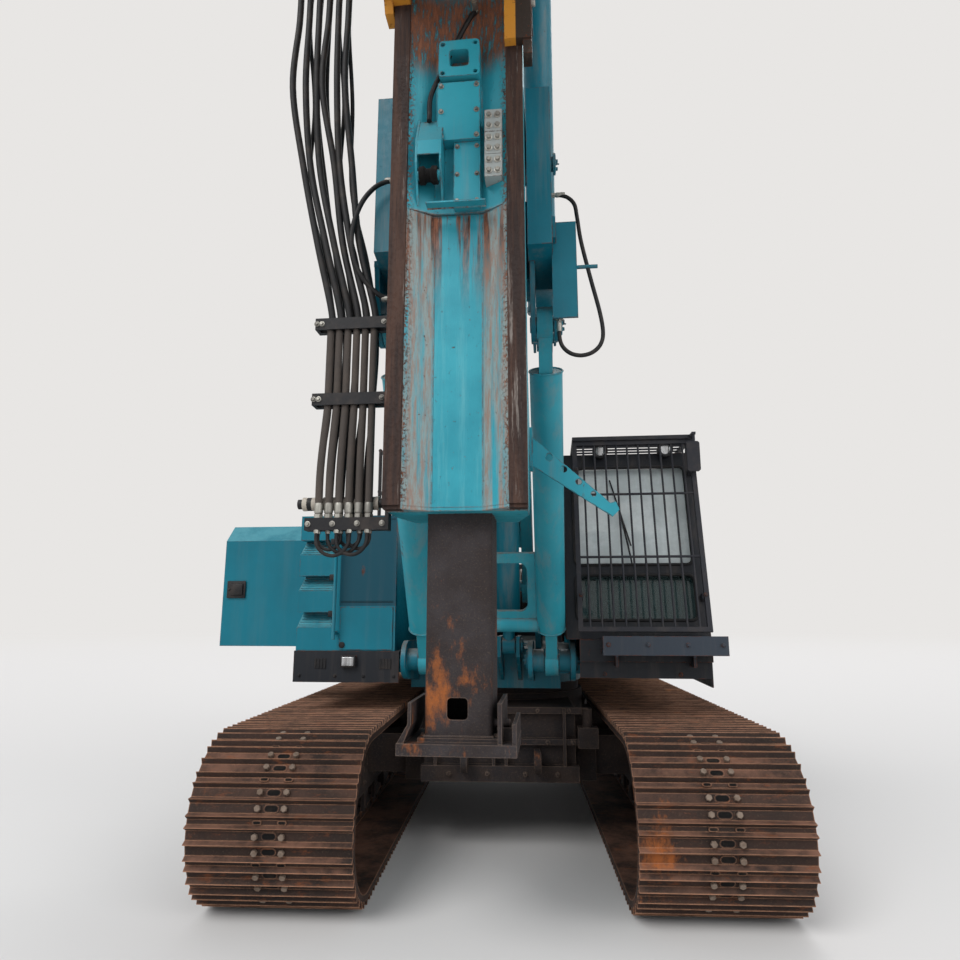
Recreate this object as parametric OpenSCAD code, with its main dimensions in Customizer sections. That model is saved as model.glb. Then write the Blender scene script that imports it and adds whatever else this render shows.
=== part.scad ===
// Rotary piling rig on crawler tracks, parked with its mast upright and no kelly bar fitted.
// The frame is the upper structure's: front toward -Y, cab on the +X side, +Z up.
// The origin lies on the ground under the slewing axis.

/* [Crawler tracks] */
// Angle that the undercarriage stands turned to the upper structure
park_slew = 3; // [0:1:10]
// Width of a track shoe
shoe_w = 1000; // [800:10:1050]
// Clear width between the two tracks, retracted
track_gap = 1640; // [1500:10:1800]
// Length of a track over its grouser tips
track_len = 5600; // [5000:10:6000]
// Height of a track over its grouser tips
track_h = 1060; // [980:10:1060]
// Number of shoes on one track
shoe_count = 52; // [46:1:54]
// Height of a grouser bar above its shoe
grouser_h = 36; // [20:1:50]
// Thickness of the shoe plate and chain link together
chain_t = 110; // [80:1:130]
// Number of lower rollers on one track frame
roller_count = 9; // [7:1:11]
// Diameter of a lower roller
roller_d = 230; // [180:5:260]

/* [Car body and slewing ring] */
// Width of the car body
car_w = 1560; // [1400:10:1620]
// Length of the car body
car_len = 2500; // [2000:10:3000]
// Height of the car body's top plate
car_top = 1130; // [1100:5:1150]
// Diameter of the slewing ring
slew_d = 1480; // [1300:10:1520]
// Bore of a towing eye
tow_bore = 70; // [40:1:90]

/* [Upper structure] */
// Height of the platform's underside
deck_z0 = 1200; // [1180:5:1240]
// Height of the platform's deck
deck_z1 = 1520; // [1480:5:1600]
// Left edge of the upper structure, seen from the front
body_x0 = -1550; // [-1650:10:-1500]
// Right edge of the upper structure, seen from the front
body_x1 = 1660; // [1600:10:1700]
// Rear end of the hoods
hood_y1 = 2500; // [2300:10:2700]
// Front end of the engine hood
hood_y0 = -100; // [-200:10:0]
// Height of the hoods' roofs
hood_z1 = 2640; // [2500:10:2800]
// Height of the front box beside the mast
box_z1 = 2600; // [2500:10:2700]
// Angle that the left front door stands open
door_open = 90; // [0:5:100]
// Thickness of hood panels
panel_t = 6; // [4:1:10]
// Depth of the counterweight
cw_depth = 850; // [600:10:1000]
// Height of the counterweight's top
cw_z1 = 2500; // [2200:10:2600]
// Number of slabs in the counterweight
cw_slabs = 3; // [2:1:4]

/* [Cab] */
// Inner edge of the cab
cab_x0 = 605; // [600:5:640]
// Outer edge of the cab
cab_x1 = 1660; // [1600:10:1700]
// Lower front edge of the cab
cab_y0 = -1700; // [-1720:10:-1600]
// Angle that the cab's front leans back
cab_lean = 11.5; // [0:0.5:15]
// Rear face of the cab
cab_y1 = 120; // [0:10:200]
// Height of the cab's underside
cab_z0 = 1620; // [1610:5:1660]
// Height of the cab roof
cab_z1 = 3100; // [3000:10:3200]
// Thickness of the cab's walls and pillars
cab_t = 60; // [40:1:80]
// Number of vertical bars in each front guard frame
guard_bars = 10; // [6:1:14]

/* [Boom linkage] */
// Distance of a link rod from the middle
link_x = 490; // [470:5:520]
// Diameter of a link rod's tube
link_d = 215; // [180:5:230]
// Lower pin of the link rods, as Y
link_y = -1500; // [-1540:10:-1460]
// Lower pin of the link rods, as Z
link_z = 1455; // [1430:5:1480]
// Horizontal reach of the linkage
reach_y = 1400; // [1350:10:1450]
// Rise of the linkage
reach_z = 2155; // [2100:5:2200]
// Boom pin behind the link rod's pin
boom_dy = 750; // [700:10:800]
// Boom pin above the link rod's pin
boom_dz = 600; // [560:10:640]
// Width over the boom's two arms
boom_w = 700; // [600:10:740]
// Diameter of the linkage's pins
pin_d = 100; // [60:5:120]

/* [Mast] */
// Distance of the mast's front face ahead of the slewing axis
mast_y = 3500; // [3400:10:3600]
// Width over the guide rails
mast_w = 770; // [740:5:790]
// Width of a guide rail
rail_w = 95; // [70:5:110]
// Depth of the mast's box
mast_d = 600; // [560:10:640]
// Wall of the mast's box
mast_t = 14; // [10:1:20]
// Height of the mast's lower end
mast_z0 = 2370; // [2300:10:2450]
// Height of the ledge over the recessed front
ledge_z = 4100; // [4000:10:4200]
// Depth of the groove in the mast's front above the ledge
groove = 85; // [40:5:100]
// Height of the joint between the mast sections
mast_zj = 12000; // [10000:100:14000]
// Height of the mast's upper end
mast_z1 = 19500; // [17000:100:22000]
// Pivot of the mast behind the mast's front face
pivot_dy = 750; // [700:10:800]
// Height of the mast's pivot
pivot_z = 4850; // [4700:10:4950]
// Height of the mast cylinders' upper pins
lug_z = 9000; // [8500:100:9500]
// Distance of a mast cylinder from the middle
mcyl_x = 470; // [460:5:500]
// Bore of the lifting eye on the mast's head
lift_bore = 90; // [60:5:120]

/* [Mast foot] */
// Width of the square leg
leg_w = 360; // [320:5:380]
// Height of the foot pad's underside, parked
foot_z = 1095; // [1080:5:1150]
// Width of the foot pad
foot_w = 620; // [560:10:680]

/* [Rotary drive] */
// Distance of the drilling axis ahead of the mast's front face
drill_dy = 900; // [850:10:1000]
// Height of the drive sledge's lower end, parked
sledge_z = 5050; // [5000:50:6000]
// Height of the drive sledge
sledge_h = 2300; // [2000:50:2500]
// Bore of the drive for the kelly bar
kelly_bore = 440; // [380:5:480]
// Outer diameter of the drive's sleeve
sleeve_d = 640; // [560:10:700]

/* [Hidden] */
$fn = 40;
fit = 5;
seat = 0.3;
slip = 0.5;
eps = 1;
teal = "#3fb4c4";
dark_teal = "#0a7686";
charcoal = "#3a3a45";
rust = "#6b4a3e";
steel = "#8a8a8c";
black = "#202022";
yellow = "#d9a02c";

// Undercarriage sizes
track_x = (track_gap + shoe_w) / 2;
track_r = track_h / 2;
wheel_r = track_r - grouser_h - chain_t;
axle_y = track_len / 2 - track_r;
axle_z = track_r;
loop_r = track_r - grouser_h;
straight = 2 * axle_y;
loop_len = 2 * straight + 2 * PI * loop_r;
pitch = loop_len / shoe_count;
plate_r = loop_r - 42;
frame_w = 420;
frame_z0 = axle_z - 150;
frame_z1 = axle_z + 190;
frame_slope = 80;
link_in = 45;
link_out = 115;
fork_x = 120;
fork_t = 65;
hub_d = 260;
hub_x = fork_x - seat;
rim_x = link_in - fit;
sprocket_teeth = round(2 * PI * loop_r / pitch);
roller_z = axle_z - wheel_r - 6 + seat + roller_d / 2;
beam_w = 320;
beam_h = 300;
beam_y = 850;
centre_bar = 700;

// Upper structure sizes
skirt_z0 = 1280;
skirt_t = 12;
deck_y0 = -1560;
deck_y1 = -1050;
skirt_x0 = 700;
ledge_x = [860, 1740];
ledge_y0 = -1870;
step_x = -1216;
step_y0 = deck_y0 + 20;
bay_y0 = -1095;
bay_y1 = -255;
cw_y0 = hood_y1 + 2 * fit;
cw_y1 = cw_y0 + cw_depth;

// Linkage sizes, each point as [y, z]
link_lo = [link_y, link_z];
link_hi = link_lo + [-reach_y, reach_z];
boom_lo = link_lo + [boom_dy, boom_dz];
boom_hi = link_hi + [boom_dy, boom_dz];
luff_lo = [-1330, 1560];
luff_hi = boom_lo + 0.62 * (boom_hi - boom_lo);
luff_d = 190;
luff_x = 150;
mast_front = -mast_y;
mast_back = mast_front + mast_d;
drill_y = mast_front - drill_dy;
pivot = [mast_front + pivot_dy, pivot_z];
mcyl_lo = [-1850, 3950];
mcyl_hi = [mast_back + 120, lug_z];
mcyl_d = 230;
mrod_d = 130;

// Mast section sizes
half_w = mast_w / 2;
rail_x = half_w - rail_w;
panel_x = 140;
recess = 105;
waist_x = 313;
waist_y = 300;
bracket_x0 = half_w + 10;
bracket_x1 = bracket_x0 + 150;

// Sizes of the foot
leg_y0 = mast_front + 210;
leg_y1 = leg_y0 + leg_w;
leg_z1 = 3900;
pad_t = 80;

// Cab sizes: the leaning front's place at a height, and a height's place along the slope
function cab_front(z) = cab_y0 + (z - cab_z0) * tan(cab_lean);
function slope(z) = (z - cab_z0) / cos(cab_lean);
guard_x = [690, cab_x1 - 10];
guard_off = 130;
roof_guard_z = cab_z1 + 90;
roof_guard_y = [cab_front(roof_guard_z) - guard_off - 20, -500];
roof_slats = 9;
slat_step = (roof_guard_y[1] - roof_guard_y[0]) / (roof_slats + 1);

// Rotary drive sizes, from the sledge's lower end
drive_z = sledge_z + 600;
flange_z = drive_z - 470;

// Hoods, doors and winches
hood_chamfer = 180;
door_y = [700, 1700];
door_z = [deck_z1 + 120, hood_z1 - 300];
hinge_pin = 16;
hinge_r = 18;
hood_hinge_z = [door_z[0] + 80, door_z[1] - 200];
front_hinge_z = [1650, 2250];
winch_y = [600, 1750];
winch_z = 2050;

// Cab door's hinge line
cab_hinge_y = -620;
cab_hinge_z = [1800, 2700];

// Mast head
head_y0 = mast_front - 900;
head_y1 = mast_back + 700;
head_z = mast_z1 + 900;
head_pin = [drill_y + 330, head_z];
rear_pin = [head_y1 - 250, head_z - 100];

// Hoses beside the mast
hose_y = mast_front + 180;
clamp_z = [2980, 3440];
hose_end_z = [2330, 5900];
hose_d = 42;

// Lengths between the cylinders' pins
luff_len = norm(luff_hi - luff_lo);
mcyl_len = norm(mcyl_hi - mcyl_lo);

// Plain shapes, boxes given by their limits
module block(x, y, z) {
    translate([x[0], y[0], z[0]]) cube([x[1] - x[0], y[1] - y[0], z[1] - z[0]]);
}
module both() {
    children();
    mirror([1, 0, 0]) children();
}
module bar_x(x0, x1, p, d) {
    translate([x0, p[0], p[1]]) rotate([0, 90, 0]) cylinder(d = d, h = x1 - x0);
}
module bar_y(x, y0, y1, z, d) {
    translate([x, y0, z]) rotate([-90, 0, 0]) cylinder(d = d, h = y1 - y0);
}
module bar_z(x, y, z0, z1, d) {
    translate([x, y, z0]) cylinder(d = d, h = z1 - z0);
}
// Places children along the line from a to b in a Y-Z plane, with their Z along it
module along(x, a, b) {
    translate([x, a[0], a[1]]) rotate([atan2(a[0] - b[0], b[1] - a[1]), 0, 0]) children();
}
// Outline given in Y-Z, drawn as a plate from x0 to x1
module plate_yz(x0, x1, points) {
    translate([x0, 0, 0]) rotate([90, 0, 90]) linear_extrude(x1 - x0) polygon(points);
}
// Outline given in X-Z, drawn as a plate from y0 to y1
module plate_xz(y0, y1, points) {
    translate([0, y1, 0]) rotate([90, 0, 0]) linear_extrude(y1 - y0) polygon(points);
}
module round_2d(u, v, r) {
    translate([u[0] + r, v[0]]) square([u[1] - u[0] - 2 * r, v[1] - v[0]]);
    translate([u[0], v[0] + r]) square([u[1] - u[0], v[1] - v[0] - 2 * r]);
    for (a = [u[0] + r, u[1] - r]) for (b = [v[0] + r, v[1] - r]) translate([a, b]) circle(r = r, $fn = 16);
}
// Blocks with the four edges along one axis rounded
module round_x(x0, x1, y, z, r) {
    translate([x0, 0, 0]) rotate([90, 0, 90]) linear_extrude(x1 - x0) round_2d(y, z, r);
}
module round_y(x, y0, y1, z, r) {
    translate([0, y1, 0]) rotate([90, 0, 0]) linear_extrude(y1 - y0) round_2d(x, z, r);
}
module round_z(x, y, z0, z1, r) {
    translate([0, 0, z0]) linear_extrude(z1 - z0) round_2d(x, y, r);
}
// Places children in the plane of the cab's leaning front, with their Z up the slope
module lean() {
    translate([0, cab_y0, cab_z0]) rotate([-cab_lean, 0, 0]) children();
}
module mirror_y(y) {
    translate([0, 2 * y, 0]) mirror([0, 1, 0]) children();
}
module frame_turn() {
    rotate([0, 0, park_slew]) children();
}

// Point and heading at the distance s along the shoes' loop, from the top front
function loop_at(s, r) =
    let (arc = PI * loop_r)
    s < straight ? [-axle_y + s, axle_z + r, 0]
    : s < straight + arc ? let (a = (s - straight) / arc * 180) [axle_y + r * sin(a),
        axle_z + r * cos(a), a]
    : s < 2 * straight + arc ? [axle_y - (s - straight - arc), axle_z - r, 180]
    : let (a = (s - 2 * straight - arc) / arc * 180) [-axle_y - r * sin(a), axle_z - r * cos(a), a];
function loop_point(s, r) = let (p = loop_at(s < 0 ? s + loop_len : s % loop_len, r)) [p[0], p[1]];
// Triple grouser outline of one shoe: columns are the place in the pitch and the height
shoe_shape = [[0.06, 0], [0.13, 1], [0.20, 0], [0.43, 0], [0.50, 1], [0.57, 0], [0.80, 0], [0.87, 1],
    [0.94, 0]];
shoe_outline = [for (i = [0:shoe_count - 1]) for (c = shoe_shape)
    loop_point((i + c[0]) * pitch, loop_r + c[1] * grouser_h)];
module loop_2d(r) {
    translate([-axle_y, axle_z - r]) square([2 * axle_y, 2 * r]);
    for (e = [-1, 1]) translate([e * axle_y, axle_z]) circle(r = r, $fn = 48);
}
module crawler() {
    color(rust) translate([-shoe_w / 2, 0, 0]) rotate([90, 0, 90]) linear_extrude(shoe_w) difference() {
        polygon(shoe_outline);
        loop_2d(plate_r);
    }
    // Two rows of chain links
    color(rust) for (x = [-link_out, link_in])
        translate([x, 0, 0]) rotate([90, 0, 90]) linear_extrude(link_out - link_in) difference() {
            loop_2d(plate_r + eps);
            loop_2d(wheel_r + 6);
        }
}
// Idler with a centre flange between the rows of links, dished on both faces
module idler() {
    color(rust) translate([0, 0, axle_z]) rotate([0, 90, 0]) rotate_extrude($fn = 32) polygon([
        [0, -hub_x], [hub_d / 2, -hub_x], [hub_d / 2, -50], [wheel_r - 110, -50], [wheel_r - 70, -95],
        [wheel_r, -95], [wheel_r, -rim_x], [wheel_r + 40, -rim_x], [wheel_r + 40, rim_x], [wheel_r, rim_x],
        [wheel_r, 95], [wheel_r - 70, 95], [wheel_r - 110, 50], [hub_d / 2, 50], [hub_d / 2, hub_x], [0,
            hub_x]]);
}
module sprocket() {
    color(rust) translate([0, 0, axle_z]) rotate([90, 0, 90]) {
        translate([0, 0, -rim_x]) linear_extrude(2 * rim_x) polygon([for (i = [0:sprocket_teeth - 1])
            for (c = [[-0.3, -25], [-0.12, 50], [0.12, 50], [0.3, -25]])
            let (a = (i + c[0]) * 360 / sprocket_teeth) (wheel_r + c[1]) * [cos(a), sin(a)]]);
        translate([0, 0, -80]) cylinder(r = wheel_r - 130, h = 160);
        translate([0, 0, -hub_x]) cylinder(d = hub_d, h = 2 * hub_x);
    }
}
module track_frame(side) {
    color(rust) {
        difference() {
            plate_xz(-axle_y, axle_y, [[-frame_w / 2, frame_z0], [frame_w / 2, frame_z0],
                [frame_w / 2, frame_z1 - frame_slope], [frame_w / 2 - frame_slope, frame_z1],
                [-frame_w / 2 + frame_slope, frame_z1], [-frame_w / 2, frame_z1 - frame_slope]]);
            // Room for the wheels
            for (e = [-1, 1]) bar_x(-fork_x, fork_x, [e * axle_y, axle_z], 2 * (wheel_r + 60));
        }
        // Fork plates with round ends
        for (e = [-1, 1]) for (w = [-1, 1]) {
            x0 = w > 0 ? fork_x : -fork_x - fork_t;
            block([x0 + 3, x0 + fork_t - 3], e > 0 ? [axle_y - wheel_r - 80, axle_y] : [-axle_y,
                -axle_y + wheel_r + 80],
                [axle_z - 130, axle_z + 130]);
            bar_x(x0, x0 + fork_t, [e * axle_y, axle_z], 330);
        }
        // Lower rollers between their brackets
        for (i = [0:roller_count - 1]) {
            y = -axle_y + wheel_r + 130 + i * (2 * (axle_y - wheel_r - 130)) / (roller_count - 1);
            bar_x(-link_out, link_out, [y, roller_z], roller_d, $fn = 20);
            bar_x(-185, 185, [y, roller_z], 90, $fn = 12);
            for (w = [-1, 1]) block([w * 165 - 15, w * 165 + 15], [y - 60, y + 60], [roller_z - 60,
                frame_z0 + eps]);
        }
        // Carrier rollers
        for (e = [-1, 1]) {
            bar_x(-link_out, link_out, [e * 900, axle_z + wheel_r + 6 - seat - 75], 150, $fn = 20);
            block([-40, 40], [e * 900 - 50, e * 900 + 50], [frame_z1 - eps, axle_z + wheel_r - 80]);
        }
    }
    // Final drive on the inner face, with a flange
    color(rust) {
        bar_x(side > 0 ? -290 : 182, side > 0 ? -182 : 290, [axle_y, axle_z], 430);
        bar_x(side > 0 ? -215 : 183, side > 0 ? -183 : 215, [axle_y, axle_z], 500);
    }
    // Telescopic beams that slide in the car body
    color(rust) for (e = [-1, 1])
        block(side > 0 ? [-track_x + 40, -frame_w / 2 + eps] : [frame_w / 2 - eps, track_x - 40],
            [e * beam_y - beam_w / 2, e * beam_y + beam_w / 2], [axle_z - 5, axle_z - 5 + beam_h]);
}
module place_track(side) {
    frame_turn() translate([side * track_x, 0, 0]) children();
}

module car_body() {
    wing = car_w / 2;
    centre = wing - 180;
    sleeve = beam_w / 2 + 45;
    color(rust) frame_turn() difference() {
        union() {
            // Sleeves of the telescopic beams, with sloping shoulders up to the pot
            for (e = [-1, 1]) block([-wing, wing], [e * beam_y - sleeve, e * beam_y + sleeve],
                [axle_z - 50, axle_z + beam_h + 45]);
            plate_xz(-beam_y - sleeve + 2, beam_y + sleeve - 2, [[-wing + 2, axle_z + beam_h + 44],
                [-centre, car_top - 61], [centre, car_top - 61], [wing - 2, axle_z + beam_h + 44]]);
            block([-centre, centre], [-car_len / 2, car_len / 2], [axle_z - 20, car_top - 60]);
            bar_z(0, 0, car_top - 200, car_top - 10, slew_d + 60);
            car_end();
            mirror_y(0) car_end();
        }
        for (e = [-1, 1]) block([-wing - 5, wing + 5],
            [e * beam_y - beam_w / 2 - slip, e * beam_y + beam_w / 2 + slip],
            [axle_z - 5 - slip, axle_z - 5 + beam_h + slip]);
        bar_z(0, 0, axle_z - 100, car_top + 20, 700);
    }
}
// Beams, ribs and towing eyes on the front of the car body, and a block with its locking pin
module car_end() {
    y = -car_len / 2;
    block([-centre_bar, centre_bar], [y - 60, y + eps], [car_top - 100, car_top - 52]);
    block([-centre_bar, centre_bar], [y - 60, y + eps], [795, 840]);
    block([-centre_bar + 80, centre_bar - 80], [y - 75, y + eps], [520, 640]);
    for (x = [-520, -60, 40, 500]) block([x, x + 22], [y - 70, y + eps], [530, car_top - 56]);
    for (x = [-300, 270]) difference() {
        union() {
            block([x + 2, x + 48], [y - 130, y + eps], [axle_z + 70, axle_z + 230]);
            bar_x(x, x + 50, [y - 130, axle_z + 150], 160);
        }
        bar_x(x - 5, x + 55, [y - 130, axle_z + 150], tow_bore);
    }
    block([615, 770], [y - 120, y + 3], [781, 935]);
    bar_z(692, y - 58, 930, car_top - 60, 75);
}
module slew_ring() {
    color(steel) difference() {
        bar_z(0, 0, car_top - 10 + seat, deck_z0 - seat, slew_d);
        bar_z(0, 0, car_top - 20, deck_z0 + 10, slew_d - 260);
    }
}

module platform() {
    color(charcoal) {
        difference() {
            block([body_x0 + skirt_t + seat, body_x1 - skirt_t - seat], [deck_y1, hood_y1],
                [deck_z0 + 120, deck_z1]);
            bar_z(0, -40, deck_z0 - 10, deck_z1 + 10, 500);
        }
        // Centre frame that carries the boom
        block([-700, 560], [deck_y1, hood_y1], [deck_z0, deck_z0 + 120 + eps]);
        // Mounts under the cab's rear
        for (x = [cab_x0 + 120, cab_x1 - 120]) for (y = [deck_y1 + 100, cab_y1 - 100])
            bar_z(x, y, deck_z1 - eps, cab_z0 - seat, 120);
        bar_z(0, 0, deck_z0, deck_z0 + 121, slew_d + 40);
    }
    // Ears of the link rods and of the boom
    color(teal) {
        for (s = [-1, 1]) for (w = [-1, 1]) difference() {
            x0 = s * link_x + w * 162 - 18;
            union() {
                plate_yz(x0, x0 + 36, [[link_y, link_z - 150], [-1040, deck_z0 + 60], [-1040, link_z + 135],
                    [link_y, link_z + 145]]);
                bar_x(x0, x0 + 36, link_lo, 290);
                bar_x(s * link_x + (w > 0 ? 52 + fit : -145), s * link_x + (w > 0 ? 145 : -52 - fit),
                    link_lo, 170);
            }
            bar_x(s * link_x - 190, s * link_x + 190, link_lo, pin_d);
        }
        for (s = [-1, 1]) difference() {
            x0 = s > 0 ? boom_w / 2 + fit : -boom_w / 2 - fit - 50;
            union() {
                plate_yz(x0, x0 + 50, [[-1040, deck_z0 + 60], [-150, deck_z1 - 20], [-420,
                    boom_lo[1] + 130],
                    [boom_lo[0] - 110, boom_lo[1] + 130], [-1000, boom_lo[1] - 60]]);
                bar_x(x0, x0 + 50, boom_lo, 290);
            }
            bar_x(x0 - 5, x0 + 55, boom_lo, pin_d);
        }
        // Luffing cylinder feet
        for (s = [-1, 1]) for (w = [-1, 1])
            difference() {
                plate_yz(s * luff_x + w * 75 - 15, s * luff_x + w * 75 + 15, [[-1040, deck_z0 + 60],
                    [-1040, luff_lo[1] + 70], [luff_lo[0] - 70, luff_lo[1] + 70], [luff_lo[0] - 70,
                        luff_lo[1] - 90]]);
                bar_x(s * luff_x + w * 75 - 20, s * luff_x + w * 75 + 20, luff_lo, 70 + 2 * slip);
            }
    }
}
module skirts() {
    color(charcoal) {
        // Bumper ledge and skirt under the cab
        block(ledge_x, [ledge_y0, cab_y0 - fit], [deck_z1 - 6, deck_z1 + 30]);
        block(ledge_x, [ledge_y0, ledge_y0 + 12], [deck_z1 - 6, cab_z0 + 30]);
        block([skirt_x0, body_x1], [cab_y0 + 20, cab_y0 + 32], [skirt_z0 + 60, deck_z1]);
        block([skirt_x0, body_x1], [cab_y0 - 20, deck_y1 - seat], [deck_z1 - 60, cab_z0 - seat]);
        block([body_x1 - skirt_t, body_x1], [cab_y0 + 20, hood_y1], [skirt_z0, deck_z1 - 2]);
        for (x = [950, 1500]) block([x, x + 20], [ledge_y0 + 40, cab_y0 + 25], [deck_z1 - 90, deck_z1 - 5]);
        // Under the front box, with two groups of slots and a lamp
        difference() {
            block([body_x0, -skirt_x0], [deck_y0, deck_y0 + 12], [skirt_z0, deck_z1 - 2 * fit]);
            for (x = [-1365, -842]) for (i = [0:2])
                block([x, x + 68], [deck_y0 - 5, deck_y0 + 17], [1395 + 24 * i, 1407 + 24 * i]);
        }
        block([-1154, -1041], [deck_y0 - 40, deck_y0 + eps], [1399, 1483]);
        block([body_x0, -skirt_x0], [deck_y0, deck_y1 - seat], [deck_z1 - 60, deck_z1]);
        block([body_x0, body_x0 + skirt_t], [deck_y0, hood_y1], [skirt_z0, deck_z1 - 2]);
    }
}
module hollow(x, y, z, t) {
    difference() {
        block(x, y, z);
        block([x[0] + t, x[1] - t], [y[0] + t, y[1] - t], [z[0] - 1, z[1] - t]);
    }
}
module front_box() {
    color(teal) {
        // Closed box beside the mast, with a raised lower panel
        hollow([step_x + 1, -skirt_x0 - 40], [step_y0, hood_y0 - fit], [deck_z1, box_z1], panel_t);
        block([step_x + 30, -skirt_x0 - 60], [step_y0 - 10, step_y0 + eps], [deck_z1 + 10, deck_z1 + 340]);
        // Column with three steps open to the front and the side
        difference() {
            block([body_x0 + 5, step_x + 2], [step_y0, bay_y0 - seat], [deck_z1, box_z1]);
            for (i = [0:2]) {
                top = 2400 - 290 * i;
                plate_yz(body_x0 - 5, step_x - 40, [[step_y0 - 5, top], [step_y0 + 150, top], [step_y0,
                    top - 120],
                    [step_y0 - 5, top - 120]]);
            }
            block([body_x0 + 25, step_x - 20], [step_y0 + 170, bay_y0 - 20], [deck_z1 - 5, box_z1 - 20]);
        }
    }
}
// Bay behind the left door, open to the side
module front_bay() {
    x1 = step_x + 1 - seat;
    color(teal) {
        difference() {
            plate_xz(bay_y0, hood_y0 - fit, [[body_x0 + 12, deck_z1], [x1, deck_z1], [x1, box_z1],
                [body_x0 + 166, box_z1], [body_x0 + 12, box_z1 - 154]]);
            plate_xz(bay_y0 + panel_t, bay_y1 - panel_t, [[body_x0 - 5, deck_z1 - 5], [x1 - panel_t,
                deck_z1 - 5],
                [x1 - panel_t, box_z1 - panel_t], [body_x0 + 170, box_z1 - panel_t],
                [body_x0 + 170, box_z1 + 5], [body_x0 - 5, box_z1 + 5]]);
        }
        for (z = front_hinge_z) {
            hinge_fixed(body_x0 - hinge_r, bay_y0, z, -1);
            block([body_x0 - eps, body_x0 + 20], [bay_y0, bay_y0 + 4], [z + 1, z + 29]);
        }
    }
}
module valve_bank() {
    color(charcoal) {
        block([-1420, -1250], [-950, -420], [deck_z1 + seat, 1950]);
        for (i = [0:4]) bar_x(-1480, -1419, [-890 + i * 102, 1800], 60, $fn = 16);
        for (y = [-830, -600]) bar_z(-1340, y, 1949, 2300, 150, $fn = 24);
    }
}
// Outline of a hood in X-Z, chamfered above an outer edge of the body and t inside the full size
function hood_outline(x0, x1, t, z0) =
    let (l = x0 < -1000 ? hood_chamfer : 0, r = x1 > 1000 ? hood_chamfer : 0, z1 = hood_z1 - t)
    [[x0 + t, z0], [x1 - t, z0], [x1 - t, z1 - r], [x1 - t - r, z1], [x0 + t + l, z1], [x0 + t, z1 - l]];
module hood_shell(x0, x1, y0, y1) {
    difference() {
        plate_xz(y0, y1, hood_outline(x0, x1, 0, deck_z1));
        plate_xz(y0 + panel_t, y1 - panel_t, hood_outline(x0, x1, panel_t, deck_z1 - 5));
    }
}
module engine_hood() {
    color(teal) difference() {
        hood_shell(body_x0, -300, hood_y0, hood_y1);
        // Louvres in two groups
        for (y = [500, 1500]) for (i = [0:6])
            block([body_x0 - 5, body_x0 + panel_t + 5], [y, y + 700], [1900 + 60 * i, 1922 + 60 * i]);
    }
}
module side_hood() {
    color(teal) difference() {
        hood_shell(620, body_x1, cab_y1 + 40, hood_y1);
        block([body_x1 - panel_t - 5, body_x1 + 5], [door_y[0], door_y[1]], [door_z[0], door_z[1]]);
        for (i = [0:6]) block([body_x1 - panel_t - 5, body_x1 + 5], [1800, 2400], [1900 + 60 * i,
            1922 + 60 * i]);
    }
    color(charcoal) for (z = hood_hinge_z) hinge_fixed(body_x1 + hinge_r, door_y[0], z, 1);
}
// Hinge with a vertical pin: the fixed part and the turning part, for a door that lies toward +Y
module hinge_fixed(x, y, z, side) {
    bar_z(x, y, z, z + 110, hinge_pin);
    block(side > 0 ? [x - hinge_r - eps, x + 8] : [x - 8, x + hinge_r + eps], [y - 45, y + 2], [z, z + 30]);
}
module hinge_moving(x, y, z, side) {
    difference() {
        union() {
            bar_z(x, y, z + 32, z + 100, 2 * hinge_r - 4);
            block(side > 0 ? [x - hinge_r - 4, x - 4] : [x + 4, x + hinge_r + 4], [y, y + 70], [z + 32,
                z + 100]);
        }
        bar_z(x, y, z, z + 120, hinge_pin + 1);
    }
}
module hood_door_right() {
    color(teal) block([body_x1 - panel_t, body_x1], [door_y[0] + fit, door_y[1] - fit], [door_z[0] + fit,
        door_z[1] - fit]);
    color(charcoal) for (z = hood_hinge_z) hinge_moving(body_x1 + hinge_r, door_y[0], z, 1);
}
// Door of the left bay, drawn closed and then turned open about its hinge
module hood_door_left() {
    x = body_x0 - hinge_r;
    translate([x, bay_y0, 0]) rotate([0, 0, door_open]) translate([-x, -bay_y0, 0]) {
        color(teal) plate_xz(bay_y0 + fit, bay_y1, [[body_x0, deck_z1 + 12], [body_x0 + panel_t,
            deck_z1 + 12],
            [body_x0 + panel_t, box_z1 - 152], [body_x0 + 150, box_z1 - 8], [body_x0 + 146, box_z1 - 4],
            [body_x0, box_z1 - 150]]);
        color(charcoal) for (z = front_hinge_z) hinge_moving(x, bay_y0, z, -1);
        // Paddle latch
        color(black) block([body_x0 - 12, body_x0 + eps], [bay_y1 - 190, bay_y1 - 60], [2010, 2090]);
    }
}
module engine_block() {
    color(charcoal) block([-1300, -500], [800, 2200], [deck_z1, 2350]);
}
function cw_outline(t) = [[body_x0 + t, cw_y0], [body_x1 - t, cw_y0], [body_x1 - t, cw_y1 - 400],
    [body_x1 - 350, cw_y1 - t],
    [body_x0 + 350, cw_y1 - t], [body_x0 + t, cw_y1 - 400]];
module counterweight() {
    slab = (cw_z1 - deck_z0 - 60) / cw_slabs;
    color(charcoal) {
        // Slabs with a groove above each but the top one
        for (i = [0:cw_slabs - 1]) translate([0, 0, deck_z0 + 60 + i * slab]) {
            linear_extrude(slab - 20) polygon(cw_outline(0));
            if (i < cw_slabs - 1) translate([0, 0,
                slab - 20 - eps]) linear_extrude(20 + 2 * eps) polygon(cw_outline(25));
        }
        // Hooks on the platform's tail
        block([-500, 500], [hood_y1 + seat, cw_y0 + eps], [deck_z0 + 130, deck_z1 - 20]);
        // Lifting lugs
        for (x = [-700, 800]) block([x, x + 60], [cw_y0 + 300, cw_y0 + 480], [cw_z1 - 21, cw_z1 + 90]);
    }
}
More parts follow.
